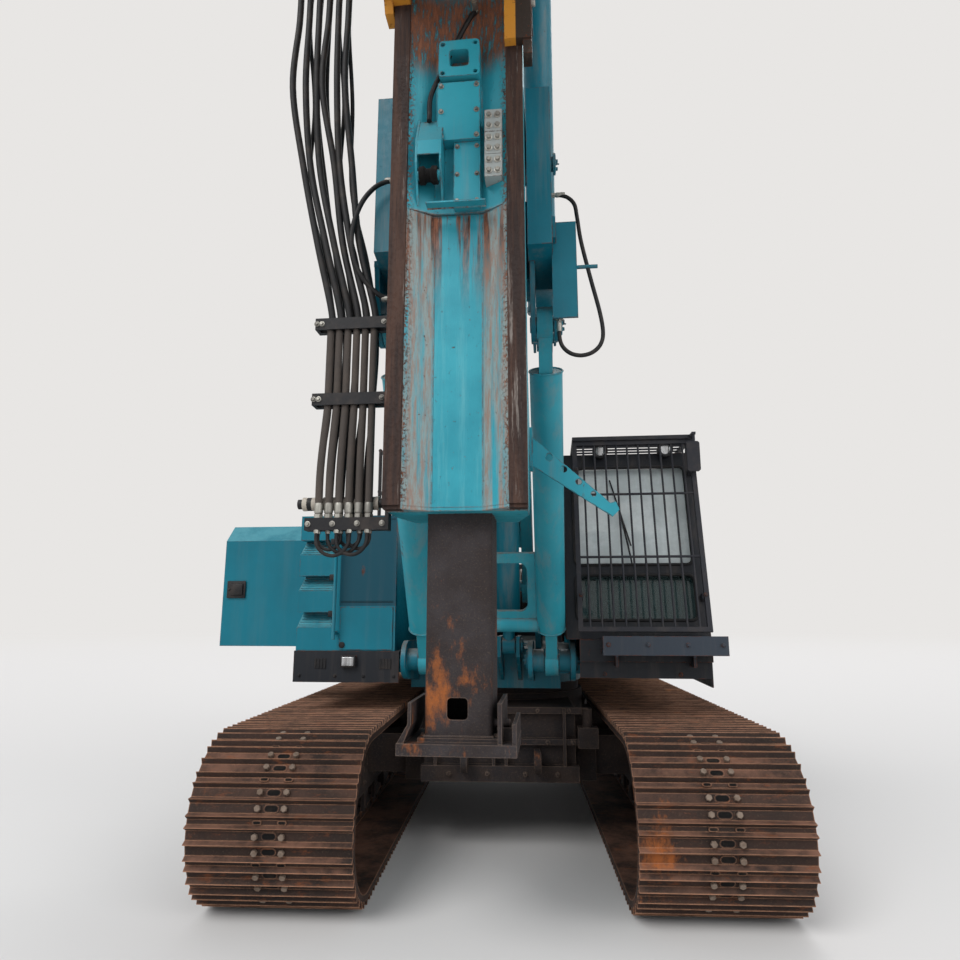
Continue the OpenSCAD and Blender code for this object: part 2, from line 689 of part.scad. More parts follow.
module guard_rails() {
    color(black) for (x = [body_x0 + hood_chamfer + 60, -360]) {
        for (y = [100, 900, 1700, 2400]) bar_z(x, y, hood_z1, hood_z1 + 900, 38);
        for (z = [hood_z1 + 450, hood_z1 + 900]) bar_y(x, 81, 2419, z, 38);
    }
    color(black) {
        // Handrail beside the steps
        bar_z(step_x, step_y0 - 80, 1610, 2480, 28);
        for (z = [1660, 2430]) bar_y(step_x, step_y0 - 80, step_y0 - seat, z, 28);
    }
}
module exhaust() {
    color(charcoal) {
        bar_z(-900, 1500, hood_z1, hood_z1 + 260, 260);
        bar_z(-900, 1500, hood_z1 + 250, hood_z1 + 560, 130);
    }
}
module winch_frame() {
    color(charcoal) for (x = [-280, 560]) difference() {
        block([x, x + 40], [300, 2100], [deck_z1, 2350]);
        for (y = winch_y) bar_x(x - 5, x + 45, [y, winch_z], 120 + 2 * slip);
    }
    color(charcoal) bar_x(-241, 561, [1180, 2250], 90);
}
module winch_drum(y) {
    color(steel) {
        bar_x(-230, 550, [y, winch_z], 360);
        for (x = [-230, 515]) bar_x(x, x + 35, [y, winch_z], 560);
    }
    color(black) bar_x(-180, 500, [y, winch_z], 460);
    color(steel) bar_x(-275, 595, [y, winch_z], 120);
}

// Outline in Y-Z between two heights, with its front edge at a distance behind the leaning front
function cab_side(off, y1, z0, z1) = [[cab_front(z0) + off, z0], [y1, z0], [y1, z1],
    [cab_front(z1) + off, z1]];
module cab_shell() {
    win_y = [cab_y0 - 5, cab_front(cab_z1) + cab_t + 40];
    color(charcoal) difference() {
        plate_yz(cab_x0, cab_x1, cab_side(0, cab_y1, cab_z0, cab_z1));
        plate_yz(cab_x0 + cab_t, cab_x1 - cab_t,
            cab_side(cab_t / cos(cab_lean), cab_y1 - cab_t, cab_z0 + 60, cab_z1 - cab_t));
        // Front windows, upper and lower
        round_y([cab_x0 + 80, cab_x1 - 80], win_y[0], win_y[1], [2180, cab_z1 - 120], 30);
        round_y([cab_x0 + 80, cab_x1 - 80], win_y[0], win_y[1], [1760, 2100], 30);
        // Inner side windows
        plate_yz(cab_x0 - 5, cab_x0 + cab_t + 5, cab_side(110, -850, 1900, cab_z1 - 120));
        round_x(cab_x0 - 5, cab_x0 + cab_t + 5, [-780, cab_y1 - 120], [2200, cab_z1 - 120], 40);
        // Door opening and rear side window on the outside
        plate_yz(cab_x1 - cab_t - 5, cab_x1 + 5, cab_side(100, -620, cab_z0 + 80, cab_z1 - 90));
        round_x(cab_x1 - cab_t - 5, cab_x1 + 5, [-540, cab_y1 - 120], [2200, cab_z1 - 120], 40);
        // Rear window and roof window
        round_y([cab_x0 + 120, cab_x1 - 120], cab_y1 - cab_t - 5, cab_y1 + 5, [2300, cab_z1 - 150], 40);
        round_z([cab_x0 + 180, cab_x1 - 180], [-1280, -700], cab_z1 - cab_t - 5, cab_z1 + 5, 40);
    }
    color(charcoal) for (z = cab_hinge_z) mirror_y(cab_hinge_y) hinge_fixed(cab_x1 + hinge_r,
        cab_hinge_y, z, 1);
}
module cab_glass() {
    color("#5a6a72") {
        lean() for (z = [[2170, cab_z1 - 110], [1750, 2110]])
            block([cab_x0 + 70, cab_x1 - 70], [cab_t + seat, cab_t + seat + 8], [slope(z[0]), slope(z[1])]);
        plate_yz(cab_x0 + cab_t + seat, cab_x0 + cab_t + seat + 8, cab_side(100, -840, 1890, cab_z1 - 110));
        block([cab_x0 + cab_t + seat, cab_x0 + cab_t + seat + 8], [-790, cab_y1 - 110], [2190,
            cab_z1 - 110]);
        block([cab_x1 - cab_t - seat - 8, cab_x1 - cab_t - seat], [-550, cab_y1 - 110], [2190,
            cab_z1 - 110]);
        block([cab_x0 + 110, cab_x1 - 110], [cab_y1 - cab_t - seat - 8, cab_y1 - cab_t - seat], [2290,
            cab_z1 - 140]);
        block([cab_x0 + 170, cab_x1 - 170], [-1290, -690], [cab_z1 - cab_t - seat - 8,
            cab_z1 - cab_t - seat]);
    }
}
module cab_door() {
    x0 = cab_x1 - cab_t + 5;
    z0 = cab_z0 + 80 + fit;
    z1 = cab_z1 - 90 - fit;
    color(charcoal) difference() {
        plate_yz(x0, cab_x1, cab_side(100 + fit, cab_hinge_y - fit, z0, z1));
        plate_yz(x0 - 5, x0 + 60, cab_side(190, -710, z0 + 90, z1 - 90));
    }
    color("#5a6a72") plate_yz(x0 + 15, x0 + 23, cab_side(190 - seat, -710 + seat, z0 + 90, z1 - 90));
    color(charcoal) for (z = cab_hinge_z) mirror_y(cab_hinge_y) hinge_moving(cab_x1 + hinge_r,
        cab_hinge_y, z, 1);
}
// Front guard that leans with the cab's front: a frame with bars, two cross bars and four brackets
module cab_guard() {
    z = [slope(cab_z0 + 35), slope(roof_guard_z - 30)];
    step = (guard_x[1] - guard_x[0]) / (guard_bars + 1);
    color(charcoal) lean() {
        difference() {
            block(guard_x, [-guard_off, -guard_off + 30], z);
            block([guard_x[0] + 35, guard_x[1] - 35], [-guard_off - 5, -guard_off + 35], [z[0] + 35,
                z[1] - 35]);
        }
        for (i = [1:guard_bars]) translate([guard_x[0] + i * step, -guard_off + 15, z[0] + 30])
            cylinder(d = 16, h = z[1] - z[0] - 60, $fn = 8);
        for (h = [2210, 2710]) bar_x(guard_x[0] + 30, guard_x[1] - 30, [-guard_off + 15, slope(h)], 20,
            $fn = 10);
        for (x = [guard_x[0] + 10, guard_x[1] - 45]) for (h = [1900, 2900])
            block([x, x + 35], [-guard_off + 29, -seat], [slope(h), slope(h) + 40]);
    }
}
module cab_roof_guard() {
    y = roof_guard_y;
    color(charcoal) {
        difference() {
            block(guard_x, y, [roof_guard_z, roof_guard_z + 30]);
            block([guard_x[0] + 35, guard_x[1] - 35], [y[0] + 35, y[1] - 35], [roof_guard_z - 5,
                roof_guard_z + 35]);
        }
        for (i = [1:roof_slats]) translate([0, y[0] + i * slat_step, 0])
            block([guard_x[0] + 30, guard_x[1] - 30], [0, 16], [roof_guard_z + 8, roof_guard_z + 22]);
        for (x = [guard_x[0], guard_x[1] - 30]) for (b = [y[0] + 180, y[1] - 30])
            block([x, x + 30], [b, b + 30], [cab_z1 + seat, roof_guard_z + eps]);
        // Mirror on its arm, ahead of the front guard
        bar_z(guard_x[1] - 15, y[0] - 90, roof_guard_z - 60, roof_guard_z + 10, 22, $fn = 12);
        block([guard_x[1] - 30, guard_x[1]], [y[0] - 105, y[0] + eps], [roof_guard_z + 5,
            roof_guard_z + 25]);
        round_y([guard_x[1] - 75, guard_x[1] + 25], y[0] - 102, y[0] - 78, [roof_guard_z - 290,
            roof_guard_z - 50], 20);
    }
}
// Lamps that hang from the roof guard's first slat
module cab_lamps() {
    y = roof_guard_y[0] + slat_step;
    color(black) for (x = [915, 1435]) {
        bar_y(x, y - 55, y + 12, cab_z1 + 15, 120, $fn = 24);
        block([x - 15, x + 15], [y + 1, y + 11], [cab_z1 + 60, roof_guard_z + 8 - seat]);
    }
}
module cab_seat() {
    color(black) {
        block([900, 1400], [-900, -400], [1900, 2020]);
        block([920, 1380], [-470, -360], [2000, 2750]);
        block([1000, 1300], [-820, -480], [cab_z0 + 60 + seat, 1901]);
        block([800, 880], [-1000, -450], [2050, 2120]);
        block([1420, 1500], [-1000, -450], [2050, 2120]);
        for (x = [780, 1440]) block([x, x + 80], [-700, -500], [cab_z0 + 60 + seat, 2060]);
    }
}

module boom() {
    len = norm(boom_hi - boom_lo);
    arm_t = 96;
    color(teal) {
        // Two tapered arms with their bosses and pins
        for (s = [-1, 1]) {
            x0 = s > 0 ? boom_w / 2 - 110 : -boom_w / 2;
            along(x0 + 55 - arm_t / 2, boom_lo, boom_hi) rotate([90, 0, 90]) linear_extrude(arm_t)
                polygon([[-120, 40], [120, 40], [150, len / 2], [120, len - 40], [-120, len - 40], [-150,
                    len / 2]]);
            bar_x(x0, x0 + 110, boom_lo, 300);
            bar_x(x0, x0 + 110, boom_hi, 300);
        }
        along(0, boom_lo, boom_hi) translate([-boom_w / 2 + 50, -120, 450]) cube([boom_w - 100, 240, 240]);
        along(0, boom_lo, boom_hi) translate([-boom_w / 2 + 50, -60, len - 620]) cube([boom_w - 100, 180,
            260]);
        // Luffing cylinder lugs
        for (s = [-1, 1]) for (w = [-1, 1]) along(s * luff_x + w * 70, boom_lo, boom_hi)
            translate([-12, -110, 690 - eps]) cube([24, 150, len - 620 - 690 + 2 * eps]);
        for (p = [boom_lo, boom_hi]) for (s = [-1, 1])
            bar_x(s > 0 ? boom_w / 2 - 130 : -boom_w / 2 - 60,
                s > 0 ? boom_w / 2 + 60 : -boom_w / 2 + 130, p,
                pin_d - 2 * slip);
    }
}
module link_rods() {
    len = norm(link_hi - link_lo);
    color(teal) {
        for (s = [-1, 1]) {
            along(s * link_x, link_lo, link_hi) translate([0, 0, 300]) cylinder(d = link_d, h = len - 600);
            along(s * link_x, link_lo, link_hi) translate([-44, -88, 20]) cube([88, 176, len - 40]);
            bar_x(s * link_x - 50, s * link_x + 50, link_lo, 230);
            bar_x(s * link_x - 50, s * link_x + 50, link_hi, 220);
            bar_x(s * link_x - 185, s * link_x + 185, link_lo, pin_d - 2 * slip);
            bar_x(s * link_x - 95, s * link_x + 95, link_hi, pin_d - 2 * slip);
        }
        // Cross tube and the web above it, with its round-cornered window
        along(0, link_lo, link_hi) translate([-link_x + 40, 0, 330]) rotate([0, 90, 0])
            cylinder(d = 120, h = 2 * link_x - 80);
        along(0, link_lo, link_hi) difference() {
            translate([-link_x + 60, -12, 320]) cube([2 * link_x - 120, 24, 620]);
            translate([0, 20, 0]) rotate([90, 0, 0]) linear_extrude(40) round_2d([-link_x + 170,
                link_x - 170], [450, 860], 60);
        }
    }
}
module luff_barrels() {
    color(dark_teal) for (s = [-1, 1]) {
        difference() {
            union() {
                along(s * luff_x, luff_lo, luff_hi) cylinder(d = 96, h = 200);
                along(s * luff_x, luff_lo, luff_hi) translate([0, 0, 150]) cylinder(d = luff_d, h = 1110);
                bar_x(s * luff_x - 50, s * luff_x + 50, luff_lo, 130);
                bar_x(s * luff_x - 100, s * luff_x + 100, luff_lo, 70);
            }
            along(s * luff_x, luff_lo, luff_hi) translate([0, 0, 400]) cylinder(d = 110, h = 780);
            along(s * luff_x, luff_lo, luff_hi) translate([0, 0, 1100]) cylinder(d = 100 + 2 * slip,
                h = 300);
        }
    }
}
module luff_rods() {
    color(steel) for (s = [-1, 1]) {
        along(s * luff_x, luff_lo, luff_hi) translate([0, 0, 620]) cylinder(d = 100, h = luff_len - 640);
        bar_x(s * luff_x - 45, s * luff_x + 45, luff_hi, 160);
        bar_x(s * luff_x - 57.5, s * luff_x + 57.5, luff_hi, 80);
    }
}

module mast_bracket() {
    color(dark_teal) {
        for (s = [-1, 1]) {
            x0 = s > 0 ? bracket_x0 : -bracket_x1;
            x1 = s > 0 ? bracket_x1 : -bracket_x0;
            // Side cheek with the bores of the mast's pivot and of the boom
            difference() {
                plate_yz(x0, x1, [[mast_front + 260, 3980], [mast_front + 260, 5050], [pivot[0] + 160,
                    5050],
                    [pivot[0] + 260, 4500], [boom_hi[0] + 30, boom_hi[1] + 130], [boom_hi[0] + 120, 4130],
                    [boom_hi[0] + 120, mcyl_lo[1] - 120], [boom_hi[0], mcyl_lo[1] - 120],
                    [boom_hi[0] - 200, 3980], [mast_back + 100, 3900]]);
                bar_x(x0 - 5, x1 + 5, pivot, pin_d);
                bar_x(x0 - 5, x1 + 5, boom_hi, pin_d);
            }
            // Fork of the mast cylinder
            for (x = [s * mcyl_x - 75, s * mcyl_x + 55]) difference() {
                union() {
                    block([x, x + 20], [boom_hi[0] + 120 - eps, mcyl_lo[0]], [mcyl_lo[1] - 110,
                        mcyl_lo[1] + 110]);
                    bar_x(x, x + 20, mcyl_lo, 220);
                }
                bar_x(x - 5, x + 25, mcyl_lo, 80 + 2 * slip);
            }
            // Clevis of the link rod
            for (w = [-1, 1]) difference() {
                c0 = s * link_x + w * 72 - 16;
                union() {
                    plate_yz(c0, c0 + 32, [[link_hi[0] - 110, link_hi[1]], [link_hi[0] + 110, link_hi[1]],
                        [link_hi[0] + 140, 4000], [link_hi[0] - 200, 4000]]);
                    bar_x(c0, c0 + 32, link_hi, 220);
                }
                bar_x(c0 - 5, c0 + 45, link_hi, pin_d);
            }
            block([s * link_x - 88, s * link_x + 88], [link_hi[0] - 200, link_hi[0] + 140], [3960, 4000]);
        }
        // Panel with a handle outside the right cheek
        block([bracket_x1 - 5, 690], [mast_front + 370, mast_front + 382], [3550, 4180]);
        block([bracket_x1 - 5, bracket_x1 + 20], [mast_front + 300, mast_front + 420], [4040, 4179]);
        bar_x(688, 814, [mast_front + 376, 3876], 24, $fn = 12);
        // Cross box behind the mast
        block([-bracket_x0 - eps, bracket_x0 + eps], [mast_back + 120, -2440], [3990, 4560]);
    }
    color(steel) both() bar_x(half_w - 35, bracket_x1 + 25, pivot, pin_d - 2 * slip);
}
module mast_barrels() {
    color(dark_teal) for (s = [-1, 1]) difference() {
        union() {
            bar_x(s * mcyl_x - 49, s * mcyl_x + 49, mcyl_lo, 200);
            bar_x(s * mcyl_x - 90, s * mcyl_x + 90, mcyl_lo, 80);
            along(s * mcyl_x, mcyl_lo, mcyl_hi) cylinder(d = 96, h = 300);
            along(s * mcyl_x, mcyl_lo, mcyl_hi) translate([0, 0, 200]) cylinder(d = mcyl_d, h = 2780);
        }
        along(s * mcyl_x, mcyl_lo, mcyl_hi) translate([0, 0, 300]) cylinder(d = mrod_d + 10, h = 2580);
        along(s * mcyl_x, mcyl_lo, mcyl_hi) translate([0, 0, 2800]) cylinder(d = mrod_d + 2 * slip,
            h = 400);
    }
}
module mast_rods() {
    color(steel) for (s = [-1, 1]) {
        along(s * mcyl_x, mcyl_lo, mcyl_hi) translate([0, 0, 2400]) cylinder(d = mrod_d,
            h = mcyl_len - 2480);
        bar_x(s * mcyl_x - 45, s * mcyl_x + 45, mcyl_hi, 210);
        bar_x(s > 0 ? mcyl_x - 70 : -mcyl_x - 60, s > 0 ? mcyl_x + 60 : -mcyl_x + 70, mcyl_hi, 90);
    }
}

// Cross section of the mast, with y from the front face; deep is the recess of the front
function mast_outline(deep, t) = [[-half_w + t, t], [-rail_x, t], [-panel_x, deep + t], [panel_x, deep + t],
    [rail_x, t], [half_w - t, t], [half_w - t, waist_y], [waist_x - t, mast_d - t], [-waist_x + t,
        mast_d - t],
    [-half_w + t, waist_y]];
// Flange at the sections' joint, behind the way of the sledge's claws
module joint_flange() {
    difference() {
        union() {
            polygon(mast_outline(0, 0));
            translate([-half_w - 20, 130]) square([2 * half_w + 40, mast_d - 110]);
        }
        polygon(mast_outline(groove, mast_t));
    }
}
module mast_tube(z0, z1, deep) {
    translate([0, mast_front, z0]) linear_extrude(z1 - z0) difference() {
        polygon(mast_outline(deep, 0));
        polygon(mast_outline(deep, mast_t));
    }
}
module mast_lower() {
    color(teal) {
        mast_tube(mast_z0, ledge_z, recess);
        mast_tube(ledge_z - eps, mast_zj - 30, groove);
        // Bottom plate with the leg's guide
        difference() {
            translate([0, mast_front, mast_z0 - 20]) linear_extrude(20 + eps) polygon(mast_outline(recess, 2));
            block([-leg_w / 2 - slip, leg_w / 2 + slip], [leg_y0 - slip, leg_y1 + slip], [mast_z0 - 30,
                mast_z0 + 20]);
        }
        translate([0, mast_front, mast_zj - 40]) linear_extrude(40) joint_flange();
        // Pivot bosses and cylinder lugs
        both() difference() {
            union() {
                plate_yz(half_w - 34, half_w, [[mast_front + 200, 4600], [mast_front + 200, 5150],
                    [pivot[0], pivot[1] + 130], [pivot[0], pivot[1] - 130]]);
                bar_x(half_w - 34, half_w, pivot, 260);
            }
            bar_x(half_w - 45, half_w + 10, pivot, pin_d);
        }
        for (s = [-1, 1]) plate_yz(s > 0 ? mcyl_x - 100 : -mcyl_x + 75, s > 0 ? mcyl_x - 75 : -mcyl_x + 100,
            [[mast_front + 200, lug_z - 500], [mast_front + 200, lug_z + 300], [mcyl_hi[0] + 90,
                lug_z + 90],
                [mcyl_hi[0] + 90, lug_z - 90]]);
    }
    // Worn guide rails
    color(rust) both() block([rail_x, half_w], [mast_front - 12, mast_front + eps], [mast_z0, mast_zj]);
}
module mast_upper() {
    color(teal) {
        mast_tube(mast_zj + 10, mast_z1, groove);
        translate([0, mast_front, mast_zj + seat]) linear_extrude(40) joint_flange();
        translate([0, mast_front, mast_z1 - 20]) linear_extrude(20) polygon(mast_outline(0, 0));
    }
    color(rust) both() block([rail_x, half_w], [mast_front - 12, mast_front + eps], [mast_zj + seat,
        mast_z1 - 300]);
}
// Depth of the groove at the distance x from the middle
function groove_y(x) = groove * min(1, (rail_x - x) / (rail_x - panel_x));
// Covers, clamps and guide plates in the mast's groove, behind the way of the sledge
module mast_fittings() {
    y1 = mast_front + groove - seat;
    color(teal) {
        // Covers that step out upward
        block([-20, 135], [mast_front + 25, y1], [ledge_z + 10, 4520]);
        block([-116, 135], [mast_front, y1], [4521, 4905]);
        // Plate with four bolt holes and an opening
        difference() {
            round_y([-110, 135], mast_front - 20, y1, [4930, 5176], 25);
            for (x = [-85, 110]) for (z = [4955, 5150]) bar_y(x, mast_front - 25, y1 + 5, z, 26, $fn = 12);
            round_y([-45, 70], mast_front - 25, y1 + 5, [4995, 5110], 20);
        }
        // Ledge over the recessed front
        plate_yz(-panel_x - 30, panel_x + 30, [[mast_front - 45, ledge_z - 8], [mast_front + 15,
            ledge_z - 8],
            [mast_front + 15, ledge_z + 9], [mast_front - 45, ledge_z + 2]]);
        // Wedge bracket with a guide roller
        for (x = [-235, -95]) plate_yz(x, x + 12, [[mast_front + groove_y(-x) - 2 * seat, 4125],
            [mast_front - 55, 4350], [mast_front - 55, 4490], [mast_front + groove_y(-x) - 2 * seat,
                4690]]);
        plate_yz(-234, -84, [[mast_front - 54, 4400], [mast_front - 54, 4490], [mast_front + 28, 4672],
            [mast_front + 28, 4650], [mast_front - 46, 4485], [mast_front - 46, 4400]]);
        bar_x(-224, -94, [mast_front - 10, 4290], 60, $fn = 24);
    }
    // Stack of clamp blocks on the groove's sloping side
    color(steel) for (i = [0:2]) translate([0, mast_front, 4245 + 144 * i]) linear_extrude(141)
        polygon([[165, -35], [265, -35], [265, groove_y(265) - 2 * seat], [165, groove_y(165) - 2 * seat]]);
}
module mast_head() {
    color(teal) {
        for (x = [-260, 220]) difference() {
            plate_yz(x, x + 40, [[mast_front, mast_z1 + seat], [mast_back, mast_z1 + seat], [head_y1,
                head_z - 200],
                [head_y1, head_z + 100], [head_y0 + 200, head_z + 250], [head_y0, head_z + 50],
                [head_y0, head_z - 150]]);
            bar_x(x - 5, x + 45, head_pin, 80);
            bar_x(x - 5, x + 45, rear_pin, 80);
        }
        block([-240, 240], [mast_front + 100, mast_back - 100], [mast_z1 + seat, mast_z1 + 60]);
        block([-240, 240], [mast_front + 150, mast_back - 150], [head_z - 100, head_z - 60]);
        difference() {
            union() {
                block([-25, 25], [mast_front + 250, mast_front + 400], [head_z - 70, head_z + 380]);
                bar_x(-25, 25, [mast_front + 325, head_z + 380], 200);
            }
            bar_x(-30, 30, [mast_front + 325, head_z + 380], lift_bore);
        }
    }
    color(steel) for (p = [head_pin, rear_pin]) bar_x(-270, 270, p, 80 - 2 * slip);
}
// Rope sheave with hub sleeves that reach the side plates
module sheave(p, x0, x1, d) {
    color(charcoal) difference() {
        union() {
            bar_x(-60, 60, p, d);
            bar_x(x0, x1, p, 150);
        }
        bar_x(x0 - 5, x1 + 5, p, 80);
        translate([0, p[0], p[1]]) rotate([0, 90, 0]) rotate_extrude($fn = 48)
            translate([d / 2, 0]) circle(d = 60);
    }
}
module hose_carrier() {
    color(charcoal) {
        // Clamps, each of a back plate, a front strip and two ends
        for (z = clamp_z) difference() {
            block([-850, -half_w - seat], [hose_y - 33, hose_y + 54], [z, z + 70]);
            block([-830, -half_w - 30], [hose_y - hose_d / 2 - seat, hose_y + hose_d / 2 + seat], [z - 5,
                z + 75]);
        }
        // Junction blocks at the hoses' lower and upper ends
        block([-860, -half_w - seat], [hose_y - 32, hose_y + 40], [hose_end_z[0] - 70,
            hose_end_z[0] - seat]);
        block([-half_w - 20, -half_w - seat], [hose_y - 31, hose_y + 39], [hose_end_z[0] - 71,
            hose_end_z[0] + 150]);
        block([-1040, -half_w - seat], [hose_y - 32, hose_y + 40], [hose_end_z[1] + seat,
            hose_end_z[1] + 80]);
    }
    color(steel) {
        bar_x(-930, -half_w - seat, [hose_y + 60, 2420], 56);
        for (x = [-900, -780, -660, -540]) bar_x(x, x + 80, [hose_y + 60, 2420], 76, $fn = 20);
    }
}
// Hose of diameter d along points [x, z] in the plane y, as eight-sided rings joined by flat faces
module hose(y, points, d) {
    n = len(points);
    k = 6;
    function heading(i) = let (a = points[max(i - 1, 0)], b = points[min(i + 1,
        n - 1)]) (b - a) / norm(b - a);
    rings = [for (i = [0:n - 1]) let (t = heading(i)) for (j = [0:k - 1]) let (a = j * 360 / k)
        [points[i][0] + d / 2 * cos(a) * t[1], y + d / 2 * sin(a), points[i][1] - d / 2 * cos(a) * t[0]]];
    sides = [for (i = [0:n - 2]) for (j = [0:k - 1]) let (a = i * k + j, b = i * k + (j + 1) % k)
        each [[a, a + k, b], [b, a + k, b + k]]];
    polyhedron(rings, concat(sides, [[for (j = [0:k - 1]) j], [for (j = [k - 1:-1:0]) (n - 1) * k + j]]));
}
// Hoses from the upper junction block down through the clamps to the lower block
module mast_hoses() {
    color(black) for (i = [0:5]) {
        x = -505 - 52 * i;
        fan = 26 * i;
        hose(hose_y, [[x - 235 - fan / 2, hose_end_z[1]], [x - 235 - fan / 2, 5400], [x - 150 - fan / 2,
            4400],
            [x - 100, 3950], [x, clamp_z[1] + 90], [x, clamp_z[0]], [x - fan / 5, 2600], [x - fan / 5,
                hose_end_z[0]]],
            hose_d);
    }
}
// Arm with a hook on the mast's right side, with holes along it
module hook_arm() {
    y0 = mast_front + 480;
    color(teal) difference() {
        union() {
            plate_xz(y0, y0 + 20, [[half_w + seat, 2860], [half_w + seat, 2680], [860, 2360], [900, 2400],
                [880, 2450], [850, 2440]]);
            block([half_w + seat, half_w + 16], [y0 - 60, y0 + 80], [2650, 2890]);
        }
        for (i = [0:3]) bar_y(500 + 85 * i, y0 - 5, y0 + 25, 2720 - 75 * i, 45 - 5 * i, $fn = 16);
    }
}
module crowd_winch() {
    color(steel) {
        bar_x(-308, 308, [mast_back + 330, 7200], 120);
        bar_x(-260, 260, [mast_back + 330, 7200], 380);
        for (x = [-260, 230]) bar_x(x, x + 30, [mast_back + 330, 7200], 520);
    }
}
module crowd_mount() {
    color(teal) for (x = [-310, 270]) difference() {
        plate_yz(x, x + 40, [[mast_back - eps, 6800], [mast_back + 430, 7100], [mast_back + 430, 7300],
            [mast_back - eps, 7600]]);
        bar_x(x - 5, x + 45, [mast_back + 330, 7200], 120 + 2 * slip);
    }
}

module foot_leg() {
    leg_t = 16;
    color(charcoal) difference() {
        round_z([-leg_w / 2, leg_w / 2], [leg_y0, leg_y1], foot_z + pad_t, leg_z1, 28);
        block([-leg_w / 2 + leg_t, leg_w / 2 - leg_t], [leg_y0 + leg_t, leg_y1 - leg_t],
            [foot_z + pad_t + 16, leg_z1 + 10]);
        round_y([-60, 50], leg_y0 - 5, leg_y0 + leg_t + 5, [1262, 1372], 22);
    }
}
// Tray with a lip, a bent cheek on the left, an upright cheek and a lug box on the right
module foot_pad() {
    y = [leg_y0 - 90, leg_y1 + 30];
    x = foot_w / 2;
    color(charcoal) {
        block([-x, x], y, [foot_z, foot_z + pad_t - 20]);
        block([-leg_w / 2 - 30, leg_w / 2 + 30], [leg_y0 - 30, leg_y1 + 20], [foot_z + pad_t - 21,
            foot_z + pad_t - seat]);
        plate_xz(y[0] + 10, y[1] - 10, [[-x, foot_z + 20], [-x + 20, foot_z + 20], [-x + 75, foot_z + 150],
            [-x + 75, foot_z + 260], [-x + 57, foot_z + 260], [-x + 57, foot_z + 154], [-x + 2,
                foot_z + 60]]);
        block([leg_w / 2 + 32, leg_w / 2 + 54], [y[0] + 20, y[1] - 10], [foot_z + 40, foot_z + 260]);
        block([x - 24, x - 2], [y[0] + 15, y[1] - 10], [foot_z + 20, foot_z + 160]);
        block([leg_w / 2 + 50, x - 20], [y[0] + 100, y[0] + 118], [foot_z + 40, foot_z + 130]);
    }
}

module drive_sledge() {
    top = sledge_z + sledge_h;
    color(yellow) {
        // Claws round both guide rails, the right one longer
        for (e = [-1, 1]) {
            z0 = e > 0 ? sledge_z : sledge_z + 350;
            mirror([e > 0 ? 0 : 1, 0, 0]) {
                block([rail_x - 5, half_w + 60], [mast_front - 70, mast_front - 12 - seat], [z0 + 60, top]);
                plate_yz(half_w + 8, half_w + 60, [[mast_front - 71, z0 + 90], [mast_front - 20, z0],
                    [mast_front + 90, z0], [mast_front + 90, top], [mast_front - 71, top]]);
                plate_yz(half_w + 9, half_w + 59, [[mast_front - 70, sledge_z + 500], [mast_front - 70,
                    top - 80],
                    [mast_front - 300, top - 300], [mast_front - 300, sledge_z + 640]]);
            }
        }
        for (z = [drive_z + 50, top - 500])
            block([-half_w - 10, half_w + 10], [mast_front - 320, mast_front - 70 + eps], [z, z + 400]);
    }
}
module rotary_drive() {
    drive_d = 1120;
    color(teal) difference() {
        union() {
            bar_z(0, drill_y, drive_z, drive_z + 1250, drive_d);
            bar_z(0, drill_y, drive_z + 900, drive_z + 960, drive_d + 80);
            block([-450, 450], [drill_y + 100, mast_front - 320 - seat], [drive_z + 50, drive_z + 1150]);
            for (s = [-1, 1]) {
                bar_z(s * 420, drill_y + 250, drive_z + 1240, drive_z + 1560, 260);
                bar_z(s * 420, drill_y + 250, drive_z + 1550, drive_z + 1750, 200);
            }
        }
        bar_z(0, drill_y, drive_z - 100, drive_z + 1350, sleeve_d + 2 * slip);
    }
}
module drive_sleeve() {
    color(steel) difference() {
        union() {
            bar_z(0, drill_y, flange_z + 70, drive_z + 1300, sleeve_d);
            bar_z(0, drill_y, flange_z, flange_z + 80, 900);
        }
        bar_z(0, drill_y, flange_z - 10, drive_z + 1310, kelly_bore);
        for (i = [0:11]) rotate_about(drill_y, i * 30) bar_z(390, 0, flange_z - 5, flange_z + 85, 40);
    }
}
module rotate_about(y, a) {
    translate([0, y, 0]) rotate([0, 0, a]) children();
}

car_body();
slew_ring();
place_track(-1) track_frame(-1);  // track_frame_left
place_track(1) track_frame(1);  // track_frame_right
place_track(-1) crawler();  // crawler_left
place_track(1) crawler();  // crawler_right
place_track(-1) translate([0, -axle_y, 0]) idler();  // idler_left
place_track(1) translate([0, -axle_y, 0]) idler();  // idler_right
place_track(-1) translate([0, axle_y, 0]) sprocket();  // sprocket_left
place_track(1) translate([0, axle_y, 0]) sprocket();  // sprocket_right
platform();
skirts();
front_box();
front_bay();
engine_hood();
side_hood();
engine_block();
counterweight();
guard_rails();
exhaust();
winch_frame();
winch_drum(winch_y[0]);  // main_winch
winch_drum(winch_y[1]);  // aux_winch
cab_shell();
cab_glass();
cab_door();
cab_guard();
cab_roof_guard();
cab_lamps();
cab_seat();
valve_bank();
hood_door_left();
hood_door_right();
boom();
link_rods();
luff_barrels();
luff_rods();
mast_bracket();
mast_barrels();
mast_rods();
union() { mast_lower(); crowd_mount(); }
mast_upper();
mast_fittings();
mast_head();
sheave(head_pin, -219, 219, 760);  // head_sheave_main
sheave(rear_pin, -219, 219, 600);  // head_sheave_aux
hose_carrier();
mast_hoses();
hook_arm();
crowd_winch();
foot_leg();
foot_pad();
drive_sledge();
rotary_drive();
drive_sleeve();
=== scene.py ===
"""Looks of a rotary piling rig on crawler tracks: finishes, hoses, shoes, cab fittings, lights and camera.

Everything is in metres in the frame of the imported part: front toward -Y, cab on the +X side, +Z up.
"""
import math
import random
from itertools import product

import bmesh
import bpy
from mathutils import Matrix, Vector


